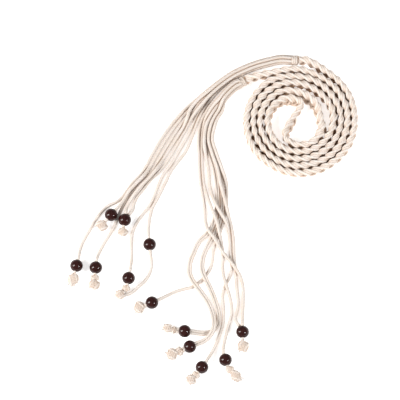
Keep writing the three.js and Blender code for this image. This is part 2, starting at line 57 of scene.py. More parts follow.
# The braid's path, as in the solid model: the coil's two halves, its middle and the whippings.
LOOP_RADIUS = 0.0334
TURN_SPACING = 0.00715
STATION_ANGLE = 15.0
TURNS_A = (780.0, -75.0)
TURNS_B = (112.5, 817.5)
HALF_TURN = 180.0
WRAP_A_ANGLE = 810.0
COIL_BELOW_WRAP = 0.0022
COIL_BESIDE_WRAP = 0.0054
STRAIGHT_BY_WRAP = 0.0075
SEAT_GAP = 0.0003
THIN_CORD = 0.0028
THICK_CORD = 0.0044
WRAP_LENGTH = 0.008
WRAP_A_RADIUS = 0.005
WRAP_B_RADIUS = 0.0052

# Direction in degrees, and the innermost turn's radius there as a share of LOOP_RADIUS.
LOOP_OUTLINE = (
    (0, 0.757), (45, 0.636), (90, 0.664), (135, 0.838),
    (180, 0.988), (225, 1.045), (270, 1.008), (315, 0.892),
)

# Angle along a half of the braid, and how far it lies off its place as a share of the spacing.
PULLS_A = (
    (-75, -0.02), (-45, -0.22), (0, -0.8), (45, -0.26), (90, -0.14),
    (135, -0.04), (180, 0.0), (742, 0.0), (780, 0.1),
)
PULLS_B = ((112.5, -0.28), (135, -0.08), (180, 0.0), (832.5, 0.0))

# The S in the coil's middle, from its centre and as shares of LOOP_RADIUS.
MIDDLE_S = (
    (-0.155, -0.885), (-0.318, -0.822), (-0.46, -0.71), (-0.5, -0.545), (-0.442, -0.364),
    (-0.339, -0.182), (-0.197, 0.0), (-0.06, 0.17), (0.03, 0.305), (-0.01, 0.45),
)

# Share of the braid's length, then thickness, height and lean there as shares of its sizes.
SECTIONS = (
    (0.0, 1.25, 0.72, 0.0), (0.006, 1.2, 0.8, 0.0), (0.02, 1.05, 0.95, 0.0),
    (0.035, 1.0, 1.0, 0.0), (0.3, 1.0, 1.0, 0.0), (0.312, 0.85, 1.0, 0.1),
    (0.33, 0.85, 1.0, 0.1), (0.34, 1.0, 1.0, 0.0), (0.38, 1.0, 1.0, 0.0),
    (0.39, 0.82, 1.0, 0.14), (0.412, 0.85, 1.0, 0.12), (0.422, 1.0, 1.0, 0.0),
    (0.44, 1.0, 1.0, 0.0), (0.46, 1.0, 1.0, -0.4), (0.476, 1.0, 1.0, -0.45),
    (0.487, 1.15, 1.0, -0.2), (0.498, 1.3, 1.0, -0.05), (0.512, 1.15, 1.0, 0.1),
    (0.522, 1.0, 1.0, 0.0), (0.535, 1.0, 1.0, -0.2), (0.547, 1.0, 1.0, -0.35),
    (0.556, 1.0, 1.0, 0.0),
    (0.564, 1.0, 1.0, 0.3), (0.576, 1.0, 1.0, 0.42), (0.592, 1.0, 1.0, 0.25),
    (0.615, 1.0, 1.0, 0.0), (0.77, 1.0, 1.0, 0.0), (0.785, 0.88, 1.0, 0.0),
    (0.81, 0.88, 1.0, 0.0), (0.82, 1.0, 1.0, 0.0), (0.92, 1.0, 1.0, 0.0),
    (0.93, 0.85, 1.0, 0.12), (0.945, 0.85, 1.0, 0.12), (0.955, 1.0, 1.0, 0.0),
    (0.988, 1.1, 0.9, 0.0), (1.0, 1.25, 0.72, 0.0),
)

# Each bundle of cords, from its whipping outward.
BUNDLE_A = (
    (-0.0063, 0.0574), (-0.0167, 0.058), (-0.0287, 0.0556), (-0.0407, 0.0523), (-0.0517, 0.048),
    (-0.0637, 0.0421), (-0.0745, 0.0347),
)

BUNDLE_B = (
    (-0.0588, 0.033), (-0.0617, 0.0316), (-0.065, 0.0291), (-0.0706, 0.0237), (-0.0757, 0.0173),
)

# Each cord: its name, diameter, lane in the bundle across and up, the points that it passes on
# its way to its bead, and those past it.
CORDS_A = (
    ("a1", THIN_CORD, (0.0033, 0.0), (
        (-0.0886, 0.0277, 0.0043), (-0.1002, 0.018, 0.003), (-0.1122, 0.0078, 0.0014),
        (-0.1202, -0.0009, 0.0014), (-0.1272, -0.0096, 0.0014), (-0.1369, -0.0239, 0.0014),
        (-0.1459, -0.0397, 0.0014), (-0.1512, -0.05, 0.0014), (-0.1572, -0.0597, 0.0014),
        (-0.1652, -0.0684, 0.0014), (-0.1712, -0.0765, 0.0014), (-0.1762, -0.0837, 0.0014),
        (-0.1822, -0.088, 0.0014), (-0.1882, -0.0908, 0.0014), (-0.1939, -0.0951, 0.0014),
        (-0.1989, -0.1011, 0.0014), (-0.2037, -0.1082, 0.0014), (-0.2077, -0.1162, 0.0014),
        (-0.2117, -0.123, 0.0014), (-0.2152, -0.1302, 0.0016), (-0.2175, -0.1374, 0.0032),
    ), ()),
    ("a2", THIN_CORD, (0.00165, -0.0028), (
        (-0.0895, 0.0243, 0.0016), (-0.0987, 0.0143, 0.0014), (-0.1102, 0.0047, 0.0014),
        (-0.1167, -0.0024, 0.0014), (-0.1231, -0.0106, 0.0014), (-0.1328, -0.0254, 0.0014),
        (-0.1419, -0.0413, 0.0014), (-0.1477, -0.052, 0.0019), (-0.1542, -0.0612, 0.0042),
        (-0.1619, -0.0694, 0.0045), (-0.1687, -0.077, 0.0045), (-0.1729, -0.0842, 0.0045),
        (-0.1765, -0.09, 0.005),
    ), ()),
    ("a3", THIN_CORD, (0.0, 0.0), (
        (-0.0877, 0.0231, 0.0046), (-0.0975, 0.0138, 0.0048), (-0.1059, 0.003, 0.002),
        (-0.1133, -0.005, 0.0014), (-0.1195, -0.0124, 0.0014), (-0.1287, -0.0269, 0.0014),
        (-0.1377, -0.0423, 0.0014), (-0.1437, -0.053, 0.0014), (-0.1512, -0.0627, 0.0014),
        (-0.1597, -0.0714, 0.0014), (-0.1667, -0.0786, 0.0014), (-0.1717, -0.0857, 0.0014),
        (-0.1752, -0.0929, 0.0014), (-0.1784, -0.1, 0.0014), (-0.1812, -0.1072, 0.0014),
        (-0.1842, -0.1144, 0.0014), (-0.1882, -0.1215, 0.0014), (-0.1927, -0.1287, 0.0014),
        (-0.1967, -0.1363, 0.0017), (-0.1992, -0.142, 0.0031),
    ), ()),
    ("a4", THIN_CORD, (0.00165, 0.00285), (
        (-0.0883, 0.0255, 0.0074), (-0.0987, 0.017, 0.006), (-0.1077, 0.0063, 0.0049),
        (-0.1105, -0.0023, 0.005), (-0.1142, -0.0109, 0.0029), (-0.1249, -0.0285, 0.0014),
        (-0.1341, -0.0434, 0.0014), (-0.1417, -0.0551, 0.0045), (-0.1492, -0.0641, 0.0046),
        (-0.1572, -0.0724, 0.0046), (-0.1637, -0.0806, 0.004), (-0.1682, -0.0878, 0.003),
        (-0.1709, -0.0939, 0.0038),
    ), ()),
    ("a5", THIN_CORD, (-0.00165, 0.00285), (
        (-0.0857, 0.0226, 0.0077), (-0.0947, 0.0129, 0.0069), (-0.1032, 0.0022, 0.0049),
        (-0.1085, -0.006, 0.003), (-0.1125, -0.0142, 0.0014), (-0.1211, -0.03, 0.0014),
        (-0.1305, -0.0461, 0.0014), (-0.1393, -0.0573, 0.0014), (-0.1479, -0.0657, 0.0014),
        (-0.1547, -0.075, 0.0014), (-0.1607, -0.0827, 0.0014), (-0.1637, -0.0898, 0.0018),
        (-0.1649, -0.096, 0.0038),
    ), ()),
    ("a6", THIN_CORD, (-0.00165, -0.0028), (
        (-0.0861, 0.0216, 0.0014), (-0.0953, 0.0116, 0.0014), (-0.1011, 0.0012, 0.0014),
        (-0.1057, -0.0101, 0.0014), (-0.1115, -0.0229, 0.0014), (-0.1193, -0.0367, 0.0014),
        (-0.1277, -0.0506, 0.0014), (-0.1345, -0.0598, 0.0014), (-0.1383, -0.0679, 0.0014),
        (-0.1412, -0.0755, 0.0014), (-0.1444, -0.0837, 0.0014), (-0.1487, -0.0919, 0.0014),
        (-0.1542, -0.0995, 0.0014), (-0.1597, -0.1072, 0.0014), (-0.1639, -0.1154, 0.0014),
        (-0.1661, -0.1246, 0.0014), (-0.1661, -0.1348, 0.0014), (-0.1659, -0.144, 0.0018),
        (-0.1665, -0.1512, 0.0034),
    ), ()),
    ("a7", THIN_CORD, (-0.0033, 0.0), (
        (-0.0839, 0.0204, 0.0044), (-0.0915, 0.0108, 0.0014), (-0.0975, 0.0012, 0.0014),
        (-0.1017, -0.0093, 0.0014), (-0.1062, -0.0223, 0.0014), (-0.1122, -0.0361, 0.0014),
        (-0.1205, -0.0473, 0.0014), (-0.1273, -0.0571, 0.0014), (-0.1315, -0.0663, 0.0014),
        (-0.1359, -0.0755, 0.0014), (-0.1405, -0.0847, 0.0014), (-0.1449, -0.0929, 0.0014),
        (-0.1475, -0.1021, 0.0014), (-0.1487, -0.1103, 0.002), (-0.149, -0.1179, 0.0039),
    ), (
        (-0.1466, -0.1445, 0.0048), (-0.1461, -0.1527, 0.0022), (-0.1481, -0.1609, 0.0014),
        (-0.1525, -0.168, 0.0014), (-0.1591, -0.1741, 0.0014), (-0.1663, -0.1804, 0.0016),
        (-0.1731, -0.1829, 0.0028),
    )),
)

CORDS_B = (
    ("b1", THIN_CORD, (-0.00335, 0.00205), (
        (-0.0753, 0.0051, 0.0053), (-0.0799, -0.0024, 0.0056), (-0.0829, -0.011, 0.006),
        (-0.0852, -0.0244, 0.006), (-0.0813, -0.0382, 0.006), (-0.0759, -0.0535, 0.0058),
        (-0.0714, -0.0684, 0.0032), (-0.0709, -0.0816, 0.0014), (-0.0717, -0.0944, 0.0014),
        (-0.074, -0.1072, 0.0014), (-0.0777, -0.1184, 0.0014), (-0.0817, -0.1276, 0.0014),
        (-0.0843, -0.1368, 0.0014), (-0.0851, -0.1461, 0.0014), (-0.0873, -0.1553, 0.0014),
        (-0.0925, -0.1634, 0.0014), (-0.0987, -0.17, 0.0014), (-0.1061, -0.1745, 0.0014),
        (-0.1147, -0.1767, 0.0014), (-0.1229, -0.1794, 0.0016), (-0.1301, -0.1833, 0.0035),
    ), ()),
    ("b2", THICK_CORD, (-0.00245, -0.00195), (
        (-0.0779, 0.0065, 0.0022), (-0.0816, -0.0014, 0.0022), (-0.0847, -0.0106, 0.0022),
        (-0.0863, -0.0244, 0.0022), (-0.0827, -0.0382, 0.0022), (-0.0779, -0.054, 0.0022),
        (-0.0757, -0.0699, 0.0022), (-0.075, -0.0837, 0.0022), (-0.0758, -0.096, 0.0022),
        (-0.0782, -0.1072, 0.0022), (-0.0815, -0.1169, 0.0022), (-0.0859, -0.1251, 0.0022),
        (-0.0903, -0.1333, 0.0022), (-0.0939, -0.142, 0.0022), (-0.0957, -0.1512, 0.0029),
        (-0.0949, -0.1599, 0.0055), (-0.0911, -0.1687, 0.0055), (-0.0867, -0.1777, 0.0024),
        (-0.0831, -0.1869, 0.0022), (-0.0803, -0.1961, 0.0022), (-0.0789, -0.2059, 0.0022),
        (-0.0811, -0.2145, 0.0022), (-0.0871, -0.2199, 0.0022), (-0.0941, -0.2215, 0.003),
        (-0.1007, -0.2213, 0.0048),
    ), ()),
    ("b3", THICK_CORD, (0.00245, -0.00195), (
        (-0.0824, 0.0079, 0.0022), (-0.0865, 0.0001, 0.0022), (-0.0897, -0.0096, 0.0022),
        (-0.0919, -0.0244, 0.0022), (-0.0873, -0.0397, 0.0022), (-0.0827, -0.0551, 0.0022),
        (-0.0805, -0.0704, 0.0022), (-0.0799, -0.0837, 0.0022), (-0.0807, -0.0949, 0.0022),
        (-0.0827, -0.1052, 0.0022), (-0.0859, -0.1144, 0.0022), (-0.0913, -0.121, 0.0022),
        (-0.0971, -0.1264, 0.0022), (-0.1013, -0.1333, 0.0022), (-0.1047, -0.1414, 0.0022),
        (-0.1075, -0.1491, 0.0022), (-0.1083, -0.1573, 0.0024), (-0.1065, -0.1655, 0.0042),
        (-0.1015, -0.1737, 0.0056), (-0.0957, -0.181, 0.0034), (-0.0907, -0.1885, 0.0022),
        (-0.0867, -0.1967, 0.0023), (-0.0841, -0.2064, 0.0046), (-0.0839, -0.2151, 0.007),
        (-0.0867, -0.2231, 0.0069), (-0.0931, -0.2292, 0.0058),
    ), ()),
    ("b4", THIN_CORD, (0.0, 0.0013), (
        (-0.0818, 0.0081, 0.0062), (-0.0868, 0.0001, 0.0061), (-0.0914, -0.0096, 0.006),
        (-0.0935, -0.0244, 0.0059), (-0.093, -0.0336, 0.0055), (-0.0915, -0.0423, 0.0024),
        (-0.0891, -0.0551, 0.0014), (-0.0881, -0.0694, 0.0014), (-0.0861, -0.0786, 0.0032),
        (-0.0831, -0.0883, 0.0061), (-0.0791, -0.096, 0.0063), (-0.0751, -0.1026, 0.006),
        (-0.0714, -0.1092, 0.0044), (-0.0689, -0.1179, 0.0016), (-0.0677, -0.1287, 0.0014),
        (-0.0674, -0.1384, 0.0014), (-0.0669, -0.1476, 0.0014), (-0.0663, -0.1558, 0.0014),
        (-0.0682, -0.1645, 0.0014), (-0.0723, -0.1721, 0.0014), (-0.0749, -0.1808, 0.0014),
        (-0.0747, -0.191, 0.0014), (-0.0739, -0.2013, 0.0014), (-0.0749, -0.212, 0.0014),
        (-0.0779, -0.2222, 0.0014), (-0.0813, -0.2314, 0.0016), (-0.0851, -0.2396, 0.0028),
        (-0.0888, -0.2458, 0.0047),
    ), ()),
    ("b5", THIN_CORD, (0.0017, 0.00485), (
        (-0.0839, 0.0108, 0.0069), (-0.0895, 0.0022, 0.0053), (-0.0924, -0.0039, 0.0038),
        (-0.0943, -0.0116, 0.0015), (-0.0957, -0.0244, 0.0014), (-0.0956, -0.0397, 0.0014),
        (-0.0951, -0.0551, 0.0014), (-0.0937, -0.0694, 0.0015), (-0.0907, -0.0811, 0.0036),
        (-0.0871, -0.0919, 0.006), (-0.0835, -0.1016, 0.0062), (-0.0805, -0.1103, 0.0062),
        (-0.0787, -0.1179, 0.0056), (-0.0772, -0.1256, 0.0033), (-0.0757, -0.1338, 0.0014),
        (-0.0749, -0.143, 0.0014), (-0.0751, -0.1522, 0.0014), (-0.0745, -0.1614, 0.0033),
        (-0.0723, -0.171, 0.0048), (-0.0692, -0.1803, 0.0026), (-0.0667, -0.191, 0.0014),
        (-0.0664, -0.2013, 0.0014), (-0.0687, -0.2115, 0.0014), (-0.0713, -0.2217, 0.0016),
        (-0.0733, -0.2299, 0.0028), (-0.0742, -0.236, 0.0046),
    ), ()),
    ("b6", THIN_CORD, (0.00335, 0.00205), (
        (-0.0877, 0.0102, 0.0034), (-0.0932, 0.0007, 0.0014), (-0.0975, -0.0096, 0.0014),
        (-0.099, -0.0244, 0.0014), (-0.0989, -0.0397, 0.0014), (-0.0983, -0.0551, 0.0014),
        (-0.0971, -0.0704, 0.0014), (-0.0947, -0.0837, 0.0014), (-0.0933, -0.0939, 0.0014),
        (-0.0927, -0.1031, 0.0016), (-0.0916, -0.1113, 0.0039), (-0.0889, -0.1182, 0.0064),
        (-0.0837, -0.1248, 0.0064), (-0.0797, -0.1317, 0.0052), (-0.0757, -0.1384, 0.0046),
        (-0.0707, -0.1448, 0.0047), (-0.0659, -0.1508, 0.0047), (-0.0613, -0.1573, 0.0047),
        (-0.0575, -0.164, 0.0026), (-0.0551, -0.1726, 0.0014), (-0.0545, -0.1829, 0.0014),
        (-0.0548, -0.1931, 0.0014), (-0.0551, -0.2013, 0.0023), (-0.0553, -0.2082, 0.0044),
    ), ()),
    ("b7", THIN_CORD, (-0.0017, 0.00485), (
        (-0.0785, 0.0066, 0.0067), (-0.0831, -0.0011, 0.0061), (-0.0871, -0.0101, 0.0058),
        (-0.0891, -0.0244, 0.0056), (-0.0853, -0.0392, 0.0057), (-0.0801, -0.0546, 0.0056),
        (-0.0773, -0.0694, 0.0062), (-0.0737, -0.0827, 0.006), (-0.0711, -0.0929, 0.0056),
        (-0.0689, -0.1031, 0.0034), (-0.0665, -0.1123, 0.0014), (-0.0647, -0.1225, 0.0014),
        (-0.0639, -0.1328, 0.0014), (-0.0637, -0.143, 0.0014), (-0.0627, -0.1522, 0.0014),
        (-0.0621, -0.1614, 0.0014), (-0.0613, -0.1706, 0.0014), (-0.0605, -0.1808, 0.0014),
        (-0.0595, -0.191, 0.0014), (-0.0607, -0.1997, 0.0018), (-0.0625, -0.2074, 0.0038),
    ), ()),
)

# Each bead: its cord, place, the way its hole points, how far the cord shows past it, the way
# that its knot lies and the knot's length, width and height.
BEADS = (
    ("a1", (-0.2208, -0.1535), -104, 0.001, -103, (0.012, 0.0095, 0.008)),
    ("a2", (-0.1865, -0.1017), -131, 0.0026, -131, (0.0095, 0.0105, 0.008)),
    ("a3", (-0.2016, -0.1554), -97, 0.0006, -94, (0.0135, 0.01, 0.0085)),
    ("a4", (-0.1729, -0.1069), -99, 0.0014, -99, (0.008, 0.009, 0.0075)),
    ("a6", (-0.1689, -0.1661), -101, 0.0009, -110, (0.0065, 0.0076, 0.0065)),
    ("a7", (-0.148, -0.1319), -85, 0.0004, 176, (0.0085, 0.009, 0.008)),
    ("b1", (-0.1456, -0.191), -157, 0.0016, -165, (0.01, 0.011, 0.008)),
    ("b2", (-0.113, -0.2199), 173, 0.0016, 165, (0.0125, 0.008, 0.007)),
    ("b3", (-0.1079, -0.2356), -158, 0.0011, -158, (0.015, 0.0105, 0.008)),
    ("b4", (-0.0958, -0.2564), -126, 0.0004, -136, (0.0125, 0.0095, 0.008)),
    ("b5", (-0.0724, -0.2489), -74, 0.0004, -48, (0.0165, 0.009, 0.0075)),
    ("b6", (-0.0554, -0.2207), -88, 0.0017, -87, (0.011, 0.01, 0.0085)),
)

# The braid: its section, and the step between the rings of its cords.
BRAID_THICKNESS = 0.0064
BRAID_HEIGHT = 0.012
BRAID_SIDES = 12
BRAID_RING_STEP = 0.001
BRAID_PATH_STEP = 0.0005
PLAIT_REPEAT = 0.0285
STRANDS = 3
END_TUCK = 0.003
END_PINCH = 0.5

# A strand of three flat cords: how far it swings, and how its cords lie in it.
STRAND_SWING_UP = 0.0042
STRAND_SWING_SIDE = 0.00095
STRAND_CORD_GAP = 0.00185
STRAND_CORD_WIDE = 0.0028
STRAND_CORD_THICK = 0.0034
STRAND_CROWN = 0.0003
STRAND_PRESSED = 0.15
STRAND_HOLD = 0.14

# How the braid strays from its path and swells, and spreads at its foot where turns press.
WANDER = 0.0004
WANDER_WAVE = (0.035, 0.09)
WANDER_WAVES = 3
FULLNESS_CHANGE = 0.07
FOOT_WIDER = 0.5
FOOT_UP_TO = 0.8

# Distances to the next turn at which it counts as pressed close and as free.
NEXT_TURN = (0.0085, 0.0105)
NEXT_TURN_ALONG = 0.02
NEXT_TURN_ASIDE = 0.75
NEIGHBOUR_STEP = 4
NEIGHBOUR_BLUR = 3

# Painted shade in the plait's creases between strands, and painted shade in the hollows between
# the turns.
SWELL_ROWS = 60
SWELL_COLUMNS = 36
SWELL_REACH = 6
SWELL_TO_HOLLOW = (0.04, 0.25)
FOLD_SHADE = 0.5
HOLLOW_SHADE_FROM = 0.75
HOLLOW_SHADE_TO = 0.35
HOLLOW_SHADE_ASIDE = (0.0006, 0.0022)

# The loose cords: a double cord is two strands side by side.
CORD_STEP = 0.0015
CORD_RING_STEP = 0.0009
CORD_SIDES = 12
CORD_FULL = 1.32
CORD_TWIST = 0.009
CORD_PLIES = 3
CORD_GROOVE = 0.1
CORD_TUCK = 0.002
PAIR_APART = 1.15
CURVE_SAMPLES = 24
BUNDLE_HEIGHT = 0.0042
STRAIGHT_BY_BEAD = 0.0015
SECOND_CORD_GAP = 0.00045
RESTING = 0.00003
# Painted shade on the loose cords: darker where other cords lie near, and on their undersides.
CORD_SHADE_GAP = 0.001
CORD_NEAR_SHADE = 0.75
CORD_UNDER = 0.4
CORD_UNDER_SHADE = 0.85

# The beads
BEAD_DIAMETER = 0.0127
BEAD_HOLE_CLEARANCE = 0.00055
BEAD_RIM = 0.0003
BEAD_RIM_BANDS = 5
BEAD_SIDES = 48
BEAD_BANDS = 22

# The knots: a cord wound over one or two lumps, crossed by a loop, round a fuller core; the core
# and the turns that lie inside the lump get painted shade.
KNOT_FULL = 1.3
KNOT_NEARER = 0.0012
KNOT_LONG = 1.3
KNOT_TWO_LUMPS = ((0.0, 0.5), (0.3, 1.0))
KNOT_SMALL_LUMP = 0.8
KNOT_CORD = 0.0026
KNOT_GROOVE = 0.2
KNOT_CORD_END = 0.0012
KNOT_SPREAD = 0.92
KNOT_UNDER = 0.92
KNOT_TILT = (0.3, 0.9)
KNOT_CROSSING_LEAN = 1.9
KNOT_CROSSING_TURNS = 1.6
KNOT_STATIONS = 120
KNOT_INNER = 0.74
KNOT_INNER_BANDS = 15
KNOT_INNER_SHADE = 0.35
KNOT_INSIDE = (0.55, 1.0)
FINE_STEP = 0.0006

# The frayed threads at a knot's end, their places as shares of its last lump.
TAIL_THREADS = 14
THREAD_RADIUS = 0.00025
THREAD_THINNING = (1.2, 0.5)
THREAD_PLIES = 2
THREAD_TWIST = 0.003
THREAD_GROOVE = 0.15
THREAD_SIDES = 6
THREAD_ROOT = (0.5, 0.4)
THREAD_REACH = (0.95, 1.12)
THREAD_SPREAD = (0.75, 0.6)
THREAD_BOW = 0.0008

# The whippings: turns of cord round a core, which is coloured with painted shade and shows between
# them; the turns' inward sides get painted shade too.
WRAP_CORD = 0.0026
WRAP_TURNS = 3
WRAP_LEAD = 0.35
WRAP_START = 2.4
WRAP_STATIONS = 200
WRAP_TUCKED = 8
WRAP_TUCK = 0.7
WRAP_SHADE_REACH = 0.6
WRAP_CORE_LONG = 0.8
WRAP_CORE_IN = 0.8
WRAP_CORE_SHADE = 0.6
WRAP_CORE_BANDS = 9
WRAP_CORE_SIDES = 24

# Every twisted cord: how sharp the grooves between its plies are, and how blunt a round end is.
GROOVE_SHARPNESS = 1.5
END_BLUNTNESS = 0.25

# The cotton: fibres and flecks along the cord and round it, soft clouds of a warmer tone, and
# painted shade in the grooves between its plies.
FIBRES_ALONG = 420.0
FIBRES_ROUND = 26.0
CLOUD_SCALE = 95.0
CLOUD_TONE = (0.98, 0.95, 0.9)
FLECK_TONE = 0.72
PLY_GROOVE_SHADE = 0.62
LOOSE_PLY_DEPTH = 0.00012
BRAID_PLY_DEPTH = 0.00014

# The wood: its grain's scale along each axis, and how much lighter the grain's light bands are.
GRAIN_SCALE = (900.0, 260.0, 900.0)
GRAIN_LIGHTER = 2.2
GRAIN_GLOW = 0.004
GRAIN_DEPTH = 0.00004

# Everything lies this far off the tables' places, so that the coil's box is centred.
BELT_SHIFT = np.array((0.0000243, 0.0000271, 0.0))

# The cords that run to another cord's bead
SECOND_CORDS = {"a5": "a4", "b7": "b6"}
CORD_OF = {row[0]: row for row in CORDS_A + CORDS_B}
BEAD_OF = {row[0]: row for row in BEADS}
BUNDLE_OF = {row[0]: (bundle, row)
             for bundle, rows in ((BUNDLE_A, CORDS_A), (BUNDLE_B, CORDS_B)) for row in rows}

# The camera, which stands far off and looks down steeply, and the studio round the belt
VIEW_CENTRE = (-0.09767, -0.0857, 0.0022)
VIEW_ELEVATION = 78.0
VIEW_DISTANCE = 6.0
VIEW_WIDTH = 0.4
SENSOR_WIDTH = 36.0
VIEW_CLIP = (0.1, 50.0)
WORLD_LIGHT = 0.34
FLOOR_GLOW = 0.55
FLOOR_SIZE = 8.0
FLOOR_DROP = -0.00005

# Each light: its name, place from the view's centre, width and length, power and colour.
LIGHTS = (
    ("left_softbox", (-1.7, -0.26, 1.23), (0.75, 1.4), 50.0, (1.0, 0.96, 0.93)),
    ("right_softbox", (1.4, -0.72, 1.25), (0.34, 0.34), 22.0, (1.0, 1.0, 1.0)),
)


def direction(degrees):
    """The level direction at an angle from the row's first axis."""
    angle = math.radians(degrees)
    return np.array((math.cos(angle), math.sin(angle), 0.0))


def aside(along):
    """The level direction to the left of another."""
    return np.cross(UP, along)


def unit(vectors):
    """The vectors at a length of one."""
    return vectors / np.linalg.norm(vectors, axis=-1, keepdims=True)


def eased(rows, places, column):
    """The value of a table's column at each place, eased from one row to the next."""
    at = np.array([row[0] for row in rows], float)
    values = np.array([row[column] for row in rows], float)
    places = np.atleast_1d(np.asarray(places, float))
    last = np.clip(np.searchsorted(at, places, side="right") - 1, 0, len(at) - 2)
    share = np.clip((places - at[last]) / (at[last + 1] - at[last]), 0.0, 1.0)
    share = share * share * (3.0 - 2.0 * share)
    return values[last] * (1.0 - share) + values[last + 1] * share


def curve_through(points, step):
    """Evenly spaced points along a centripetal curve through the given ones."""
    knots = np.array(points, float)
    knots = np.vstack((2 * knots[0] - knots[1], knots, 2 * knots[-1] - knots[-2]))
    dense = []
    for first in range(len(knots) - 3):
        p0, p1, p2, p3 = knots[first:first + 4]
        d0, d1, d2 = (max(np.linalg.norm(b - a) ** 0.5, 1e-6)
                      for a, b in ((p0, p1), (p1, p2), (p2, p3)))
        m1 = ((p1 - p0) / d0 - (p2 - p0) / (d0 + d1) + (p2 - p1) / d1) * d1
        m2 = ((p2 - p1) / d1 - (p3 - p1) / (d1 + d2) + (p3 - p2) / d2) * d1
        t = np.linspace(0.0, 1.0, CURVE_SAMPLES, endpoint=False)[:, None]
        dense.append(p1 + m1 * t + (3 * (p2 - p1) - 2 * m1 - m2) * t ** 2
                     + (2 * (p1 - p2) + m1 + m2) * t ** 3)
    dense.append(knots[-2:-1])
    return even_points(np.vstack(dense), step)


def even_points(line, step):
    """Points along a line at about one distance."""
    lengths = run_along(line)
    count = max(int(round(lengths[-1] / step)), 2)
    places = np.linspace(0.0, lengths[-1], count + 1)
    return np.column_stack([np.interp(places, lengths, line[:, axis]) for axis in range(3)])


def run_along(line):
    """The distance from a line's start to each of its points."""
    return np.concatenate(((0.0,), np.cumsum(np.linalg.norm(np.diff(line, axis=0), axis=1))))


def frames_along(line, first_normal=UP):
    """Tangents, and two normals that don't twist about the line."""
    tangents = unit(np.gradient(line, axis=0))
    normals = np.empty_like(line)
    normal = first_normal - tangents[0] * np.dot(first_normal, tangents[0])
    for index, tangent in enumerate(tangents):
        normal = normal - tangent * np.dot(normal, tangent)
        normal = normal / np.linalg.norm(normal)
        normals[index] = normal
    return tangents, normals, np.cross(tangents, normals)


def loop_share(angles):
    """The innermost turn's radius in each direction, as a share of LOOP_RADIUS."""
    shares = np.array([share for _, share in LOOP_OUTLINE])
    gap = 360.0 / len(shares)
    place = np.mod(angles, 360.0) / gap
    row = np.floor(place).astype(int)
    t = place - row
    p0, p1, p2, p3 = (shares[(row + step) % len(shares)] for step in (-1, 0, 1, 2))
    return 0.5 * (2 * p1 + (p2 - p0) * t + (2 * p0 - 5 * p1 + 4 * p2 - p3) * t ** 2
                  + (3 * p1 - p0 - 3 * p2 + p3) * t ** 3)


def coil_radius(angle, start, pulls):
    """How far a half of the braid lies from the coil's centre at an angle along it."""
    turns = (angle - start) / HALF_TURN + eased(pulls, angle, 1)[0]
    return LOOP_RADIUS * float(loop_share(np.array(angle))) + TURN_SPACING * turns


def wrap_place(bundle):
    """The middle and the direction of a whipping, and the place where the braid meets it."""
    start, then = (np.array((x, y, 0.0)) for x, y in bundle[:2])
    along = unit(then - start)
    middle = start - along * (SEAT_GAP + WRAP_LENGTH / 2)
    return middle, along, middle - along * (SEAT_GAP + WRAP_LENGTH / 2)


def braid_points():
    """The braid's path, from the first whipping through the coil's middle to the second."""
    middle_a, along_a, end_a = wrap_place(BUNDLE_A)
    _, along_b, end_b = wrap_place(BUNDLE_B)
    last_turn = coil_radius(WRAP_A_ANGLE, HALF_TURN, PULLS_B) + BRAID_THICKNESS / 2
    centre = middle_a + np.array(
        (COIL_BESIDE_WRAP, -WRAP_A_RADIUS - COIL_BELOW_WRAP - last_turn, 0.0))
    points = [end_a, end_a - along_a * STRAIGHT_BY_WRAP]
    for angle in np.arange(TURNS_A[0], TURNS_A[1] - 1.0, -STATION_ANGLE):
        points.append(centre + direction(angle) * coil_radius(angle, 0.0, PULLS_A))
    for x, y in MIDDLE_S:
        points.append(centre + np.array((x, y, 0.0)) * LOOP_RADIUS)
    for angle in np.arange(TURNS_B[0], TURNS_B[1] + 1.0, STATION_ANGLE):
        points.append(centre + direction(angle) * coil_radius(angle, HALF_TURN, PULLS_B))
    points += [end_b - along_b * STRAIGHT_BY_WRAP, end_b]
    return np.array(points) + BELT_SHIFT


def bead_radius():
    """Half the bead size that the panel gives."""
    return bpy.context.scene.belt_sizes.bead_size / 2


def bead_centre(row):
    """The middle of a bead, which lies on the table."""
    return np.array((*row[1], bead_radius())) + BELT_SHIFT


def lane_points(bundle, lane):
    """A cord's way along its bundle, which lies level above the table."""
    middles = np.array([(x, y, BUNDLE_HEIGHT) for x, y in bundle])
    points = []
    for index, middle in enumerate(middles):
        along = unit(middles[min(index + 1, len(middles) - 1)] - middles[max(index - 1, 0)])
        right = np.cross(along, UP)
        points.append(middle + right * lane[0] + UP * lane[1])
    return points


def cord_points(bundle, row):
    """A cord's route from its whipping to the knot behind its bead."""
    name, diameter, lane, points, after = row
    route = [point + BELT_SHIFT for point in lane_points(bundle, lane)]
    route += [np.array(point) + BELT_SHIFT for point in points]
    if name in SECOND_CORDS:
        centre = bead_centre(BEAD_OF[SECOND_CORDS[name]])
        towards = unit(route[-1] - centre)
        route.append(centre + towards * (bead_radius() + SECOND_CORD_GAP))
    else:
        bead = BEAD_OF[name]
        centre, along = bead_centre(bead), direction(bead[2])
        route.append(centre - along * (bead_radius() + STRAIGHT_BY_BEAD))
        route.append(centre)
        route.append(centre + along * (bead_radius() + bead[3]))
        route += [np.array(point) + BELT_SHIFT for point in after]
    line = curve_through(route, CORD_STEP)
    line[:, 2] = np.maximum(line[:, 2], diameter / 2)
    return line


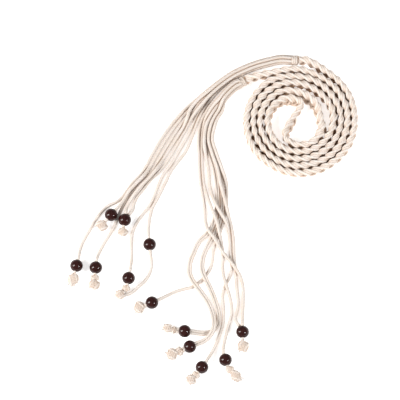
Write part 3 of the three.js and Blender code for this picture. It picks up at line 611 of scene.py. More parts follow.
class Skin:
    """Gathers the rings of several tubes into one mesh, with a UV map and two layers of painted
    shade.
    """

    def __init__(self):
        self.points, self.faces, self.uvs, self.depths, self.painted_shades = [], [], [], [], []
        self.count = 0

    def tube(self, rings, lengths, depths=None, painted_shades=None):
        """Adds a closed tube. Its rings run against the clock, seen from its far end."""
        rows, sides = rings.shape[:2]
        base = self.count
        corners = np.arange(rows * sides).reshape(rows, sides) + base
        ahead = np.roll(corners, -1, axis=1)
        quads = np.stack((corners[:-1], ahead[:-1], ahead[1:], corners[1:]), axis=-1)
        self.faces += quads.reshape(-1, 4).tolist()
        across = np.arange(sides + 1) / sides
        v0, u0 = np.meshgrid(across[:-1], lengths[:-1])
        v1, u1 = np.meshgrid(across[1:], lengths[1:])
        uv = np.stack([np.stack(corner, axis=-1) for corner in
                       ((u0, v0), (u0, v1), (u1, v1), (u1, v0))], axis=2)
        self.uvs += uv.reshape(-1, 2).tolist()
        self.faces.append(corners[0, ::-1].tolist())
        self.faces.append(corners[-1].tolist())
        self.uvs += [(lengths[0], 0.0)] * sides + [(lengths[-1], 0.0)] * sides
        self.points.append(rings.reshape(-1, 3))
        none = np.zeros(rows * sides)
        self.depths.append(none if depths is None else depths.reshape(-1))
        self.painted_shades.append(none if painted_shades is None else painted_shades.reshape(-1))
        self.count += rows * sides

    def piece(self, name, material):
        """Makes the object, which lies on the table and not in it."""
        mesh = bpy.data.meshes.new(name)
        points = np.vstack(self.points)
        points[:, 2] = np.maximum(points[:, 2], RESTING)
        mesh.from_pydata(points.tolist(), [], self.faces)
        mesh.uv_layers.new(name="thread")
        mesh.uv_layers[0].data.foreach_set("uv", np.array(self.uvs, float).ravel())
        for layer, values in (("depth", self.depths), ("fold", self.painted_shades)):
            made = mesh.attributes.new(layer, "FLOAT", "POINT")
            made.data.foreach_set("value", np.concatenate(values))
        mesh.polygons.foreach_set("use_smooth", [True] * len(mesh.polygons))
        mesh.materials.append(material)
        mesh.update()
        made = bpy.data.objects.new(name, mesh)
        bpy.context.scene.collection.objects.link(made)
        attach(made, "root")
        return made


def twisted_rings(line, radius, plies, pitch, groove, sides, first_normal=UP, ends=0.0):
    """Rings round a line whose plies and the grooves between them wind along it."""
    _, normals, binormals = frames_along(line, first_normal)
    lengths = run_along(line)
    turn = np.arange(sides) / sides * 2 * math.pi
    reach = 1.0 - groove * (1.0 - np.abs(np.cos(turn * plies / 2))) ** GROOVE_SHARPNESS
    size = np.broadcast_to(np.asarray(radius, float), lengths.shape).copy()
    if ends > 0.0:
        close = np.minimum(lengths, lengths[-1] - lengths) / ends
        size *= np.sqrt(np.clip(END_BLUNTNESS + (1.0 - END_BLUNTNESS) * close, 0.0, 1.0))
    wound = turn[None, :] + (2 * math.pi / pitch * lengths)[:, None]
    out = reach[None, :] * size[:, None]
    rings = (line[:, None, :] + normals[:, None, :] * (np.cos(wound) * out)[..., None]
             + binormals[:, None, :] * (np.sin(wound) * out)[..., None])
    return rings, lengths


def beside(line, distance):
    """A line that runs level beside another one."""
    _, _, binormals = frames_along(line)
    return line + distance * binormals


def node_maker(material):
    """A function that adds a node and links or sets its inputs, and the material's tree."""
    tree = material.node_tree

    def make(kind, settings=None, **inputs):
        """An input is given by name, or by number after an underscore."""
        node = tree.nodes.new(kind)
        for key, value in (settings or {}).items():
            setattr(node, key, value)
        for key, value in inputs.items():
            socket = node.inputs[int(key[1:]) if key[1:].isdigit() else key.replace("_", " ")]
            if isinstance(value, bpy.types.NodeSocket):
                tree.links.new(value, socket)
            else:
                socket.default_value = value
        return node

    return make, tree


def new_material(name, roughness, specular):
    """A material with its shader, which has the roughness and gloss that are given."""
    material = bpy.data.materials.new(name)
    material.use_nodes = True
    shader = material.node_tree.nodes["Principled BSDF"]
    shader.inputs["Roughness"].default_value = roughness
    shader.inputs["Specular IOR Level"].default_value = specular
    return material, shader


def cotton_material(name, colour, painted_shade_colour, hollow_shade_colour, plies, ply_pitch, ply_depth):
    """Matt spun cotton: plies that wind along the cord, fine fibres, painted shade in the grooves
    between plies, and painted shade from the mesh's two shade layers in creases and hollows.
    """
    material, shader = new_material(name, roughness=0.9, specular=0.08)
    make, tree = node_maker(material)
    uv = make("ShaderNodeUVMap", {"uv_map": "thread"})
    split = make("ShaderNodeSeparateXYZ", _0=uv.outputs["UV"])
    place = make("ShaderNodeNewGeometry").outputs["Position"]

    twist = 0.0 if ply_pitch == 0.0 else plies / ply_pitch
    wind = make("ShaderNodeMath", {"operation": "MULTIPLY"}, _0=split.outputs["X"], _1=-twist)
    around = make("ShaderNodeMath", {"operation": "MULTIPLY_ADD"},
                  _0=split.outputs["Y"], _1=float(plies), _2=wind.outputs[0])
    turns = make("ShaderNodeMath", {"operation": "MULTIPLY"},
                 _0=around.outputs[0], _1=2 * math.pi)
    wave = make("ShaderNodeMath", {"operation": "COSINE"}, _0=turns.outputs[0])
    ridge = make("ShaderNodeMapRange", _0=wave.outputs[0], _1=-1.0, _2=1.0, _3=0.0, _4=1.0)

    long = make("ShaderNodeMath", {"operation": "MULTIPLY"}, _0=split.outputs["X"],
                _1=FIBRES_ALONG)
    skew = make("ShaderNodeMath", {"operation": "MULTIPLY_ADD"},
                _0=split.outputs["Y"], _1=FIBRES_ROUND, _2=long.outputs[0])
    fibre_at = make("ShaderNodeCombineXYZ", X=long.outputs[0], Y=skew.outputs[0])
    fibres = make("ShaderNodeTexNoise", Vector=fibre_at.outputs[0], Scale=1.0, Detail=4.0,
                  Roughness=0.65)
    cloud = make("ShaderNodeTexNoise", Vector=place, Scale=CLOUD_SCALE, Detail=3.0,
                 Roughness=0.55)

    tint = make("ShaderNodeMapRange", _0=cloud.outputs[0], _1=0.3, _2=0.7, _3=0.0, _4=1.0)
    warm = tuple(c * k for c, k in zip(colour, CLOUD_TONE))
    base = make("ShaderNodeMix", {"data_type": "RGBA"}, _0=tint.outputs[0],
                _6=(*colour, 1.0), _7=(*warm, 1.0))
    fleck = make("ShaderNodeMapRange", _0=fibres.outputs[0], _1=0.25, _2=0.6, _3=0.16, _4=0.0)
    flecked = make("ShaderNodeMix", {"data_type": "RGBA"}, _0=fleck.outputs[0],
                   _6=base.outputs[2], _7=tuple(c * FLECK_TONE for c in colour) + (1.0,))
    # Painted shade in the grooves between the plies.
    groove_shade = make("ShaderNodeMapRange", _0=ridge.outputs[0], _1=0.0, _2=0.35, _3=0.3, _4=0.0)
    plied = make("ShaderNodeMix", {"data_type": "RGBA"}, _0=groove_shade.outputs[0],
                 _6=flecked.outputs[2],
                 _7=tuple(c * PLY_GROOVE_SHADE for c in colour) + (1.0,))
    # Painted shade in creases, where cords lie close, under cords and inside knots and whippings.
    fold = make("ShaderNodeAttribute", {"attribute_name": "fold"})
    with_painted_shade = make("ShaderNodeMix", {"data_type": "RGBA"}, _0=fold.outputs["Fac"],
                  _6=plied.outputs[2], _7=(*painted_shade_colour, 1.0))
    # Painted shade deep in the hollows between the coil's turns.
    depth = make("ShaderNodeAttribute", {"attribute_name": "depth"})
    with_hollow_shade = make("ShaderNodeMix", {"data_type": "RGBA"}, _0=depth.outputs["Fac"],
                  _6=with_painted_shade.outputs[2], _7=(*hollow_shade_colour, 1.0))
    tree.links.new(with_hollow_shade.outputs[2], shader.inputs["Base Color"])

    high = make("ShaderNodeMath", {"operation": "MULTIPLY_ADD"},
                _0=fibres.outputs[0], _1=0.35, _2=ridge.outputs[0])
    bump = make("ShaderNodeBump", Height=high.outputs[0], Strength=0.7, Distance=ply_depth)
    tree.links.new(bump.outputs[0], shader.inputs["Normal"])
    return material


def wood_material(name, colour):
    """Dark stained wood under a glossy lacquer, with the grain just showing."""
    material, shader = new_material(name, roughness=0.5, specular=0.0)
    shader.inputs["Coat Weight"].default_value = 0.4
    shader.inputs["Coat Roughness"].default_value = 0.06
    shader.inputs["Coat IOR"].default_value = 1.65
    make, tree = node_maker(material)
    place = make("ShaderNodeNewGeometry").outputs["Position"]
    stretch = make("ShaderNodeVectorMath", {"operation": "MULTIPLY"},
                   _0=place, _1=GRAIN_SCALE)
    grain = make("ShaderNodeTexNoise", Vector=stretch.outputs[0], Scale=1.0, Detail=5.0,
                 Roughness=0.6)
    share = make("ShaderNodeMapRange", _0=grain.outputs[0], _1=0.35, _2=0.7, _3=0.0, _4=1.0)
    light = tuple(min(c * GRAIN_LIGHTER + GRAIN_GLOW, 1.0) for c in colour)
    mixed = make("ShaderNodeMix", {"data_type": "RGBA"}, _0=share.outputs[0],
                 _6=(*colour, 1.0), _7=(*light, 1.0))
    tree.links.new(mixed.outputs[2], shader.inputs["Base Color"])
    rough = make("ShaderNodeMapRange", _0=grain.outputs[0], _1=0.3, _2=0.7, _3=0.22, _4=0.4)
    tree.links.new(rough.outputs[0], shader.inputs["Roughness"])
    bump = make("ShaderNodeBump", Height=grain.outputs[0], Strength=0.15,
                Distance=GRAIN_DEPTH)
    tree.links.new(bump.outputs[0], shader.inputs["Normal"])
    return material


def shared_material(name, build, *facts):
    """The material of that name, which is built the first time."""
    return bpy.data.materials.get(name) or build(name, *facts)


def cotton(name, colour, ply_pitch, ply_depth):
    """One of the belt's two cottons, with the panel's colours of painted shade in its creases and
    hollows.
    """
    sizes = bpy.context.scene.belt_sizes
    return shared_material(
        name, cotton_material, tuple(colour), tuple(sizes.painted_shade_colour),
        tuple(sizes.hollow_shade_colour), CORD_PLIES, ply_pitch, ply_depth)


def loose_cotton():
    """The cotton of the loose cords, the knots and the whippings."""
    return cotton(
        "loose_cotton", bpy.context.scene.belt_sizes.cord_colour, 0.0, LOOSE_PLY_DEPTH)


def braid_cotton():
    """The cotton of the plait, whose plies wind along each cord."""
    return cotton(
        "braid_cotton", bpy.context.scene.belt_sizes.braid_colour, CORD_TWIST, BRAID_PLY_DEPTH)


class BELT_PG_sizes(bpy.types.PropertyGroup):
    """The belt's sizes and colours that a user would change, among them the colours of painted
    shade
    """

    bead_size: bpy.props.FloatProperty(
        name="Bead size", description="Diameter of a wooden bead", default=BEAD_DIAMETER,
        min=0.006, max=0.02, unit="LENGTH")
    plait_repeat: bpy.props.FloatProperty(
        name="Plait repeat", description="Length of braid in which a strand comes back to "
        "the same edge", default=PLAIT_REPEAT, min=0.02, max=0.05, unit="LENGTH")
    cord_colour: bpy.props.FloatVectorProperty(
        name="Cord colour", description="Colour of the loose cords", subtype="COLOR",
        size=3, default=(0.825, 0.765, 0.72), min=0.0, max=1.0)
    braid_colour: bpy.props.FloatVectorProperty(
        name="Braid colour", description="Colour of the braid", subtype="COLOR",
        size=3, default=(0.905, 0.845, 0.8), min=0.0, max=1.0)
    # Painted shade: the colour painted in creases, where cords lie close, on cords' undersides and
    # inside knots and whippings.
    painted_shade_colour: bpy.props.FloatVectorProperty(
        name="Fold colour", description="Colour of the cotton where one strand dives under "
        "another", subtype="COLOR", size=3, default=(0.48, 0.3, 0.18), min=0.0, max=1.0)
    hollow_shade_colour: bpy.props.FloatVectorProperty(
        # Painted shade: the colour painted on the cotton deep between two turns.
        name="Hollow colour", description="Colour of the cotton deep between two turns",
        subtype="COLOR", size=3, default=(0.4, 0.25, 0.16), min=0.0, max=1.0)
    bead_colour: bpy.props.FloatVectorProperty(
        name="Bead colour", description="Colour of the stained wood", subtype="COLOR",
        size=3, default=(0.017, 0.0028, 0.0022), min=0.0, max=1.0)


class BELT_OT_stage(bpy.types.Operator):
    """Sets up the camera, the floor and the soft studio light"""

    bl_idname = "belt.stage"
    bl_label = "Stage"

    def execute(self, context):
        context.scene.view_settings.view_transform = "Standard"
        self.place_camera(context.scene)
        self.light(context.scene)
        self.lay_floor(context.scene)
        return {"FINISHED"}

    def place_camera(self, scene):
        """A long lens far off, which looks down as steeply as the photograph does."""
        tilt = math.radians(VIEW_ELEVATION)
        back = Vector((0.0, -math.cos(tilt), math.sin(tilt)))
        lens = bpy.data.cameras.new("camera")
        lens.sensor_width = SENSOR_WIDTH
        lens.lens = SENSOR_WIDTH * VIEW_DISTANCE / VIEW_WIDTH
        lens.clip_start, lens.clip_end = VIEW_CLIP
        camera = bpy.data.objects.new("camera", lens)
        camera.location = Vector(VIEW_CENTRE) + back * VIEW_DISTANCE
        camera.rotation_euler = back.to_track_quat("Z", "Y").to_euler()
        scene.collection.objects.link(camera)
        scene.camera = camera

    def light(self, scene):
        """An even world and two soft boxes."""
        world = bpy.data.worlds.new("studio")
        world.use_nodes = True
        background = world.node_tree.nodes["Background"]
        background.inputs["Color"].default_value = (1.0, 1.0, 1.0, 1.0)
        background.inputs["Strength"].default_value = WORLD_LIGHT
        scene.world = world

        for name, place, size, watts, colour in LIGHTS:
            lamp = bpy.data.lights.new(name, "AREA")
            lamp.shape = "RECTANGLE"
            lamp.size, lamp.size_y = size
            lamp.energy, lamp.color = watts, colour
            made = bpy.data.objects.new(name, lamp)
            made.location = Vector(VIEW_CENTRE) + Vector(place)
            made.rotation_euler = Vector(place).to_track_quat("Z", "Y").to_euler()
            scene.collection.objects.link(made)

    def lay_floor(self, scene):
        """A plain pale floor that glows a little, as a bright sheet of paper does."""
        material, shader = new_material("pale_floor", roughness=0.9, specular=0.1)
        make, tree = node_maker(material)
        place = make("ShaderNodeNewGeometry").outputs["Position"]
        cloud = make("ShaderNodeTexNoise", Vector=place, Scale=6.0, Detail=2.0)
        tone = make("ShaderNodeMapRange", _0=cloud.outputs[0], _1=0.3, _2=0.7, _3=0.95, _4=0.97)
        tree.links.new(tone.outputs[0], shader.inputs["Base Color"])
        shader.inputs["Emission Color"].default_value = (1.0, 1.0, 1.0, 1.0)
        shader.inputs["Emission Strength"].default_value = FLOOR_GLOW
        mesh = bpy.data.meshes.new("floor")
        half = FLOOR_SIZE / 2
        corners = ((-half, -half), (half, -half), (half, half), (-half, half))
        mesh.from_pydata([(x, y, FLOOR_DROP) for x, y in corners], [], [(0, 1, 2, 3)])
        mesh.materials.append(material)
        floor = bpy.data.objects.new("floor", mesh)
        scene.collection.objects.link(floor)


def bead_mesh(row, hole):
    """A turned ball with a drilled hole, lying with the hole along its cord."""
    radius = bead_radius()
    rim = math.acos((hole + BEAD_RIM) / radius)
    outer = [(radius * math.cos(a), radius * math.sin(a))
             for a in np.linspace(-rim, rim, BEAD_BANDS)]
    top = outer[-1][1]
    round_off = [(hole + BEAD_RIM * (1 - math.sin(a)), top - BEAD_RIM * (1 - math.cos(a)))
                 for a in np.linspace(0.0, math.pi / 2, BEAD_RIM_BANDS)[1:]]
    profile = outer + round_off + [(r, -z) for r, z in reversed(round_off)]
    turn = np.arange(BEAD_SIDES) / BEAD_SIDES * 2 * math.pi
    along = direction(row[2])
    centre = bead_centre(row)
    rings = np.array([
        centre + along * z + (aside(along)[None, :] * np.cos(turn)[:, None]
                              + UP[None, :] * np.sin(turn)[:, None]) * r
        for r, z in profile])
    count = len(profile)
    faces = []
    for ring in range(count):
        after = (ring + 1) % count
        for side in range(BEAD_SIDES):
            then = (side + 1) % BEAD_SIDES
            faces.append((ring * BEAD_SIDES + side, ring * BEAD_SIDES + then,
                          after * BEAD_SIDES + then, after * BEAD_SIDES + side))
    return rings.reshape(-1, 3), faces


class BELT_OT_beads(bpy.types.Operator):
    """Turns the twelve wooden beads"""

    bl_idname = "belt.beads"
    bl_label = "Beads"

    def execute(self, context):
        sizes = context.scene.belt_sizes
        wood = shared_material("stained_wood", wood_material, tuple(sizes.bead_colour))
        for row in BEADS:
            hole = CORD_OF[row[0]][1] / 2 + BEAD_HOLE_CLEARANCE
            points, faces = bead_mesh(row, hole)
            mesh = bpy.data.meshes.new(f"turned_bead_{row[0]}")
            mesh.from_pydata(points.tolist(), [], faces)
            mesh.polygons.foreach_set("use_smooth", [True] * len(mesh.polygons))
            mesh.materials.append(wood)
            made = bpy.data.objects.new(f"turned_bead_{row[0]}", mesh)
            context.scene.collection.objects.link(made)
            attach(made, "root")
            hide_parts(f"bead_{row[0]}")
        return {"FINISHED"}


def knot_lumps(row, start):
    """A knot's lumps from its bead outward, each as its middle and its half sizes."""
    length, width, height = row[5]
    along = direction(row[4])
    count = 2 if length > KNOT_LONG * width else 1
    length, width = length * KNOT_FULL, width * KNOT_FULL
    shares = KNOT_TWO_LUMPS if count == 2 else ((0.0, 1.0),)
    lumps = []
    for number, (first, last) in enumerate(shares):
        half = (last - first) * length / 2
        middle = start + along * ((first + last) / 2 * length - KNOT_NEARER)
        wide = KNOT_SMALL_LUMP if count == 2 and number == 0 else 1.0
        middle[2] = height * wide / 2
        lumps.append((middle, half, width * wide / 2, height * wide / 2))
    return lumps


def knot_winding(lump, along, tilt, turns, reach):
    """The line of a cord wound over a lump, round an axis that leans from its heading."""
    middle, *half = lump
    axis = np.array((math.cos(tilt), math.sin(tilt), 0.0))
    beside_axis = np.array((-math.sin(tilt), math.cos(tilt), 0.0))
    t = np.linspace(0.0, 1.0, KNOT_STATIONS)
    out = KNOT_SPREAD * (2 * t - 1)
    angle = 2 * math.pi * turns * t
    round_it = np.sqrt(1.0 - out ** 2)
    ball = (axis * out[:, None] + beside_axis * (round_it * np.cos(angle))[:, None]
            + UP * (round_it * np.sin(angle))[:, None])
    room = np.array([size * reach - KNOT_CORD / 2 for size in half])
    return middle + (ball * room) @ np.array((along, aside(along), UP))


class BELT_OT_knots(bpy.types.Operator):
    """Ties the knots behind the beads, each with its short frayed end"""

    bl_idname = "belt.knots"
    bl_label = "Knots"

    def execute(self, context):
        for row in BEADS:
            name = row[0]
            chance = random.Random(f"knot {name}")
            end = cord_points(*BUNDLE_OF[name])[-1]
            along = direction(row[4])
            skin = Skin()
            for lump in knot_lumps(row, end):
                tilt = chance.uniform(*KNOT_TILT) * chance.choice((-1, 1))
                turns = max(2.0, round(2 * KNOT_SPREAD * lump[1] / KNOT_CORD) + 0.5)
                for lean, count, reach in (
                        (tilt, turns, KNOT_UNDER),
                        (tilt - KNOT_CROSSING_LEAN, KNOT_CROSSING_TURNS, 1.0)):
                    line = knot_winding(lump, along, lean, count, reach)
                    rings, lengths = twisted_rings(
                        even_points(line, FINE_STEP), KNOT_CORD / 2, CORD_PLIES, CORD_TWIST,
                        KNOT_GROOVE, CORD_SIDES, ends=KNOT_CORD_END)
                    skin.tube(rings, lengths, painted_shades=self.inner(rings, lump, along))
                self.core(skin, lump, along)
            self.fray(skin, lump, along, chance)
            made = skin.piece(f"tied_knot_{name}", loose_cotton())
            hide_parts(f"knot_{name}")
        return {"FINISHED"}

    def fray(self, skin, lump, along, chance):
        """The loose threads of the cut end, which stand out of the last lump."""
        middle, half_long, half_wide, half_high = lump
        across = aside(along)
        for _ in range(TAIL_THREADS):
            side, rise = chance.uniform(-1, 1), chance.uniform(-1, 1)
            root = (middle + along * half_long * THREAD_ROOT[0]
                    + across * side * half_wide * THREAD_ROOT[1])
            stop = (middle + along * half_long * chance.uniform(*THREAD_REACH)
                    + across * side * half_wide * THREAD_SPREAD[0]
                    + UP * rise * half_high * THREAD_SPREAD[1])
            bow = (root + stop) / 2 + across * side * THREAD_BOW
            line = curve_through([root, bow, stop], FINE_STEP)
            thin = THREAD_RADIUS * np.linspace(*THREAD_THINNING, len(line))
            rings, lengths = twisted_rings(
                line, thin, THREAD_PLIES, THREAD_TWIST, THREAD_GROOVE, THREAD_SIDES)
            skin.tube(rings, lengths)

    def core(self, skin, lump, along):
        """The inside of the knot, which shows between its turns and is coloured with painted
        shade.
        """
        middle, half_long, half_wide, half_high = lump
        steps = np.linspace(-1.0, 1.0, KNOT_INNER_BANDS)
        out = np.sin(math.pi / 2 * KNOT_SPREAD * steps) * KNOT_INNER
        size = np.sqrt(KNOT_INNER ** 2 - out ** 2)
        turn = np.arange(CORD_SIDES) / CORD_SIDES * 2 * math.pi
        rings = (middle + (along * (out * half_long)[:, None])[:, None, :]
                 + aside(along) * (size[:, None] * np.cos(turn) * half_wide)[..., None]
                 + UP * (size[:, None] * np.sin(turn) * half_high)[..., None])
        skin.tube(rings, out * half_long, painted_shades=np.full(rings.shape[:2], KNOT_INNER_SHADE))

    def inner(self, rings, lump, along):
        """Painted shade on the knot's turns: darker the further they lie inside the lump."""
        middle, half_long, half_wide, half_high = lump
        away = rings - middle
        out = np.sqrt((away @ along / half_long) ** 2
                      + (away @ aside(along) / half_wide) ** 2
                      + (away[..., 2] / half_high) ** 2)
        return np.clip((KNOT_INSIDE[1] - out) / (KNOT_INSIDE[1] - KNOT_INSIDE[0]), 0.0, 1.0)


class BELT_OT_cords(bpy.types.Operator):
    """Lays the loose cords"""

    bl_idname = "belt.cords"
    bl_label = "Cords"

    def execute(self, context):
        lines = {name: cord_points(*facts) for name, facts in BUNDLE_OF.items()}
        for name, line in lines.items():
            diameter = CORD_OF[name][1]
            others, reach = self.other_cords(name, lines)
            inner = line[0] - unit(line[1] - line[0]) * CORD_TUCK
            full = even_points(np.vstack((inner, line)), CORD_RING_STEP)
            strands, radius = [full], diameter / 2
            if diameter > THIN_CORD:
                radius = diameter / 4
                strands = [beside(full, side * radius * PAIR_APART) for side in (-1, 1)]
            skin = Skin()
            for strand in strands:
                rings, lengths = twisted_rings(
                    strand, radius * CORD_FULL, CORD_PLIES, CORD_TWIST, CORD_GROOVE, CORD_SIDES)
                skin.tube(rings, lengths, painted_shades=self.contact_and_underside_shade(rings, others, reach))
            made = skin.piece(f"loose_cord_{name}", loose_cotton())
            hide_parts(f"cord_{name}")
        return {"FINISHED"}

    def other_cords(self, name, lines):
        """A tree of the other cords' points, and how far each point's cord reaches."""
        others = [other for other in lines if other != name]
        tree, reach = KDTree(sum(len(lines[other]) for other in others)), []
        for other in others:
            for point in lines[other]:
                tree.insert(point, len(reach))
                reach.append(CORD_OF[other][1] / 2 * CORD_FULL)
        tree.balance()
        return tree, reach

    def contact_and_underside_shade(self, rings, others, reach):
        """How much painted shade a cord's surface gets: painted contact shade where other cords
        lie near it, and painted shade where it faces down.
        """
        gaps = []
        for point in rings.reshape(-1, 3):
            _, index, distance = others.find(point)
            gaps.append(distance - reach[index])
        close = np.clip(1.0 - np.array(gaps) / CORD_SHADE_GAP, 0.0, 1.0)
        close = close.reshape(rings.shape[:2])
        outward = unit(rings - rings.mean(axis=1, keepdims=True))
        under = np.clip((CORD_UNDER - outward[..., 2]) / (1.0 + CORD_UNDER), 0.0, 1.0)
        return np.clip(CORD_NEAR_SHADE * close + CORD_UNDER_SHADE * under, 0.0, 1.0)


class BraidLay:
    """Lays points of a straight braid along its path through the coil."""

    def __init__(self):
        line = curve_through(braid_points(), BRAID_PATH_STEP)
        before = line[0] - unit(line[1] - line[0]) * END_TUCK
        after = line[-1] + unit(line[-1] - line[-2]) * END_TUCK
        self.length = run_along(line)[-1]
        self.line = np.vstack((before, line, after))
        self.at = np.concatenate(((-END_TUCK,), run_along(line), (self.length + END_TUCK,)))
        tangents = unit(np.gradient(line, axis=0))
        tangents = np.vstack((tangents[:1], tangents, tangents[-1:]))
        self.left = unit(np.cross(UP, tangents))
        chance = random.Random("braid")
        waves = [(chance.uniform(*WANDER_WAVE), chance.uniform(0.0, 2 * math.pi))
                 for _ in range(2 * WANDER_WAVES)]
        swings = [np.sin(2 * math.pi * self.at / wave + start) for wave, start in waves]
        self.wander = WANDER * sum(swings[:WANDER_WAVES]) / WANDER_WAVES
        self.fullness = 1.0 + FULLNESS_CHANGE * sum(swings[WANDER_WAVES:]) / WANDER_WAVES
        self.closed = [self.neighbours(side) for side in (1, -1)]

    def neighbours(self, side):
        """How closely the next turn stands on one side, along the path."""
        every = slice(None, None, NEIGHBOUR_STEP)
        points, left, at = self.line[every, :2], self.left[every, :2] * side, self.at[every]
        near = np.zeros(len(points))
        for index, point in enumerate(points):
            gaps = points - point
            to_side = gaps @ left[index]
            away = np.linalg.norm(gaps, axis=1)
            there = ((np.abs(at - at[index]) > NEXT_TURN_ALONG)
                     & (to_side > NEXT_TURN_ASIDE * away) & (away < NEXT_TURN[1]))
            if there.any():
                near[index] = np.clip(
                    (NEXT_TURN[1] - away[there].min()) / (NEXT_TURN[1] - NEXT_TURN[0]), 0.0, 1.0)
        width = 2 * NEIGHBOUR_BLUR + 1
        near = np.pad(near, NEIGHBOUR_BLUR, mode="edge")
        near = np.convolve(near, np.ones(width) / width, mode="valid")
        return np.interp(self.at, at, near)

    def close(self, s, left):
        """How closely the next turn stands beside these points."""
        return np.where(left > 0, np.interp(s, self.at, self.closed[0]),
                        np.interp(s, self.at, self.closed[1]))

    def bend(self, points):
        """From places along, left and up in the straight braid to places in the coil."""
        s, left, up = points[..., 0], points[..., 1], points[..., 2] / BRAID_HEIGHT + 0.5
        base, side = (
            np.stack([np.interp(s, self.at, table[:, axis]) for axis in range(3)], axis=-1)
            for table in (self.line, self.left))
        share = np.clip(s / self.length, 0.0, 1.0).ravel()
        thick, high, lean = (eased(SECTIONS, share, column).reshape(s.shape)
                             for column in (1, 2, 3))
        inside = np.clip(np.maximum(-s, s - self.length) / END_TUCK, 0.0, 1.0)
        squeeze = 1.0 - END_PINCH * inside
        foot = self.close(s, left) * np.clip(FOOT_UP_TO - up, 0.0, 1.0)
        thick = thick * squeeze * (1.0 + FOOT_WIDER * foot)
        thick = thick * np.interp(s, self.at, self.fullness)
        across = (left * thick + lean * BRAID_HEIGHT * (1.0 - up)
                  + np.interp(s, self.at, self.wander))
        rise = BRAID_HEIGHT * high * (0.5 + (up - 0.5) * squeeze)
        return base + unit(side) * across[..., None] + UP * rise[..., None]

    def depth(self, points):
        """The painted shade of the cotton: darker the deeper it lies between two turns."""
        s, left, up = points[..., 0], points[..., 1], points[..., 2] / BRAID_HEIGHT + 0.5
        to_side = np.clip(
            (np.abs(left) - HOLLOW_SHADE_ASIDE[0]) / (HOLLOW_SHADE_ASIDE[1] - HOLLOW_SHADE_ASIDE[0]), 0.0, 1.0)
        down = np.clip((HOLLOW_SHADE_FROM - up) / (HOLLOW_SHADE_FROM - HOLLOW_SHADE_TO), 0.0, 1.0)
        return self.close(s, left) * to_side * down * down * (3.0 - 2.0 * down)


def strand_rings(lay, strand, cord, repeat):
    """Rings of one cord of one strand, in the straight braid. It is pressed where it crosses."""
    s = np.arange(-END_TUCK, lay.length + END_TUCK, BRAID_RING_STEP)
    even = 2 * math.pi * (s / repeat + strand / STRANDS)
    phase = even + STRAND_HOLD * np.sin(2 * even)
    full = (1.0 - STRAND_PRESSED * (0.5 + 0.5 * np.cos(2 * phase)))[:, None, None]
    centre = np.column_stack((
        s, STRAND_SWING_SIDE * np.sin(2 * even), STRAND_SWING_UP * np.sin(phase)))
    tangents = unit(np.gradient(centre, axis=0))
    turn = math.pi / 2 * (1.0 - np.cos(phase))
    outward = np.column_stack((np.zeros_like(s), np.cos(turn), np.sin(turn)))
    outward = unit(outward - tangents * np.sum(outward * tangents, axis=1)[:, None])
    across = np.cross(tangents, outward)
    centre = centre + across * (cord * STRAND_CORD_GAP)
    centre = centre - outward * (abs(cord) * STRAND_CROWN)
    ring = np.arange(BRAID_SIDES) / BRAID_SIDES * 2 * math.pi
    return (centre[:, None, :]
            + full * outward[:, None, :] * (np.cos(ring) * STRAND_CORD_THICK / 2)[None, :, None]
            + across[:, None, :] * (np.sin(ring) * STRAND_CORD_WIDE / 2)[None, :, None]), s


def painted_fold_shade(all_rings, repeat):
    """Painted shade on each point of the straight braid: darker the further it lies below the
    swells of the strands near it, in the creases between strands.
    """
    points = np.concatenate([rings.reshape(-1, 3) for rings in all_rings])
    out = np.hypot(points[:, 1] / (BRAID_THICKNESS / 2), points[:, 2] / (BRAID_HEIGHT / 2))
    around = np.arctan2(points[:, 2] / BRAID_HEIGHT, points[:, 1] / BRAID_THICKNESS)
    row = (np.mod(points[:, 0] / repeat, 1.0) * SWELL_ROWS).astype(int) % SWELL_ROWS
    column = ((around / (2 * math.pi) + 0.5) * SWELL_COLUMNS).astype(int) % SWELL_COLUMNS
    swell = np.zeros((SWELL_ROWS, SWELL_COLUMNS))
    np.maximum.at(swell, (row, column), out)
    near = swell.copy()
    reach = SWELL_ROWS // SWELL_REACH
    for shift in range(-reach, reach + 1):
        near = np.maximum(near, np.roll(swell, shift, axis=0))
    near = np.maximum(near, np.maximum(np.roll(near, 1, axis=1), np.roll(near, -1, axis=1)))
    low = 1.0 - out / near[row, column]
    swell_end, hollow_start = SWELL_TO_HOLLOW
    low = FOLD_SHADE * np.clip((low - swell_end) / (hollow_start - swell_end), 0.0, 1.0)
    sizes = [rings.shape[0] * rings.shape[1] for rings in all_rings]
    return [part.reshape(rings.shape[:2])
            for part, rings in zip(np.split(low, np.cumsum(sizes)[:-1]), all_rings)]


class BELT_OT_braid(bpy.types.Operator):
    """Plaits the three strands and lays them in the coil"""

    bl_idname = "belt.braid"
    bl_label = "Braid"

    def execute(self, context):
        lay = BraidLay()
        repeats = round(lay.length / context.scene.belt_sizes.plait_repeat)
        repeat = lay.length / repeats
        cords = (-1, 0, 1)
        straight = [strand_rings(lay, strand, cord, repeat)
                    for strand in range(STRANDS) for cord in cords]
        # Painted shade in the creases between the strands.
        low = painted_fold_shade([rings for rings, _ in straight], repeat)
        for strand in range(STRANDS):
            skin = Skin()
            for cord in range(strand * len(cords), (strand + 1) * len(cords)):
                rings, lengths = straight[cord]
                skin.tube(lay.bend(rings), lengths, lay.depth(rings), low[cord])
            made = skin.piece(f"plait_strand_{strand + 1}", braid_cotton())
            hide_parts("braid")
        return {"FINISHED"}


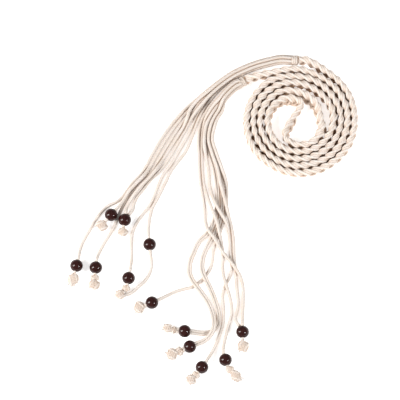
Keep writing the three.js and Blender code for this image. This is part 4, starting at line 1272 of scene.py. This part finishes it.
class BELT_OT_whippings(bpy.types.Operator):
    """Winds the cord round both ends of the braid"""

    bl_idname = "belt.whippings"
    bl_label = "Whippings"

    def execute(self, context):
        for number, bundle, radius in ((1, BUNDLE_A, WRAP_A_RADIUS), (2, BUNDLE_B, WRAP_B_RADIUS)):
            middle, along, _ = wrap_place(bundle)
            middle = middle + BELT_SHIFT + UP * radius
            skin = Skin()
            self.core(skin, middle, along, radius)
            self.wind(skin, middle, along, radius)
            made = skin.piece(f"wound_whipping_{number}", loose_cotton())
            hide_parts(f"end_wrap_{number}")
        return {"FINISHED"}

    def core(self, skin, middle, along, radius):
        """What the cord is wound round, which shows between its turns and is coloured with painted
        shade.
        """
        half = WRAP_LENGTH / 2
        places = np.linspace(-half, half, WRAP_CORE_BANDS) * WRAP_CORE_LONG
        turn = np.arange(WRAP_CORE_SIDES) / WRAP_CORE_SIDES * 2 * math.pi
        round_it = aside(along) * np.cos(turn)[:, None] + UP * np.sin(turn)[:, None]
        size = radius - WRAP_CORD * WRAP_CORE_IN
        rings = np.array([middle + along * place + round_it * size for place in places])
        skin.tube(rings, places + half, painted_shades=np.full(rings.shape[:2], WRAP_CORE_SHADE))

    def wind(self, skin, middle, along, radius):
        """The cord itself, whose two ends are tucked under. Its inward side gets painted shade."""
        across = aside(along)
        around = WRAP_TURNS * 2 * math.pi
        angle = np.linspace(-WRAP_LEAD, around + WRAP_LEAD, WRAP_STATIONS)
        share = np.clip(angle / around, 0.0, 1.0)
        reach = np.full_like(angle, radius - WRAP_CORD / 2)
        tucked = np.linspace(WRAP_CORD * WRAP_TUCK, 0.0, WRAP_TUCKED)
        reach[:WRAP_TUCKED] -= tucked
        reach[-WRAP_TUCKED:] -= tucked[::-1]
        line = (middle + along * ((share - 0.5) * (WRAP_LENGTH - WRAP_CORD))[:, None]
                + across * (np.cos(angle + WRAP_START) * reach)[:, None]
                + UP * (np.sin(angle + WRAP_START) * reach)[:, None])
        rings, lengths = twisted_rings(
            even_points(line, FINE_STEP), WRAP_CORD / 2, CORD_PLIES, CORD_TWIST, CORD_GROOVE,
            CORD_SIDES, along)
        outward = np.hypot((rings - middle) @ across, rings[..., 2] - middle[2])
        skin.tube(rings, lengths,
                  painted_shades=np.clip((radius - outward) / (WRAP_CORD * WRAP_SHADE_REACH), 0.0, 1.0))


class BELT_PT_panel(bpy.types.Panel):
    """Lists the belt's sizes and the pieces that can be made"""

    bl_idname = "BELT_PT_panel"
    bl_label = "Braided Belt"
    bl_space_type = "VIEW_3D"
    bl_region_type = "UI"
    bl_category = "Belt"

    def draw(self, context):
        column = self.layout.column()
        for name in BELT_PG_sizes.__annotations__:
            column.prop(context.scene.belt_sizes, name)
        for operator in OPERATORS:
            column.operator(operator.bl_idname)


OPERATORS = (
    BELT_OT_stage, BELT_OT_beads, BELT_OT_knots, BELT_OT_cords, BELT_OT_braid,
    BELT_OT_whippings,
)
CLASSES = (BELT_PG_sizes, *OPERATORS, BELT_PT_panel)


def register():
    """Adds the classes, and the sizes to the scene."""
    for kind in CLASSES:
        bpy.utils.register_class(kind)
    bpy.types.Scene.belt_sizes = bpy.props.PointerProperty(type=BELT_PG_sizes)


def unregister():
    """Takes them away again."""
    del bpy.types.Scene.belt_sizes
    for kind in reversed(CLASSES):
        bpy.utils.unregister_class(kind)


def main():
    """Builds the whole belt."""
    register()
    bpy.ops.belt.stage()
    bpy.ops.belt.beads()
    bpy.ops.belt.knots()
    bpy.ops.belt.cords()
    bpy.ops.belt.braid()
    bpy.ops.belt.whippings()


if __name__ == "__main__":
    main()
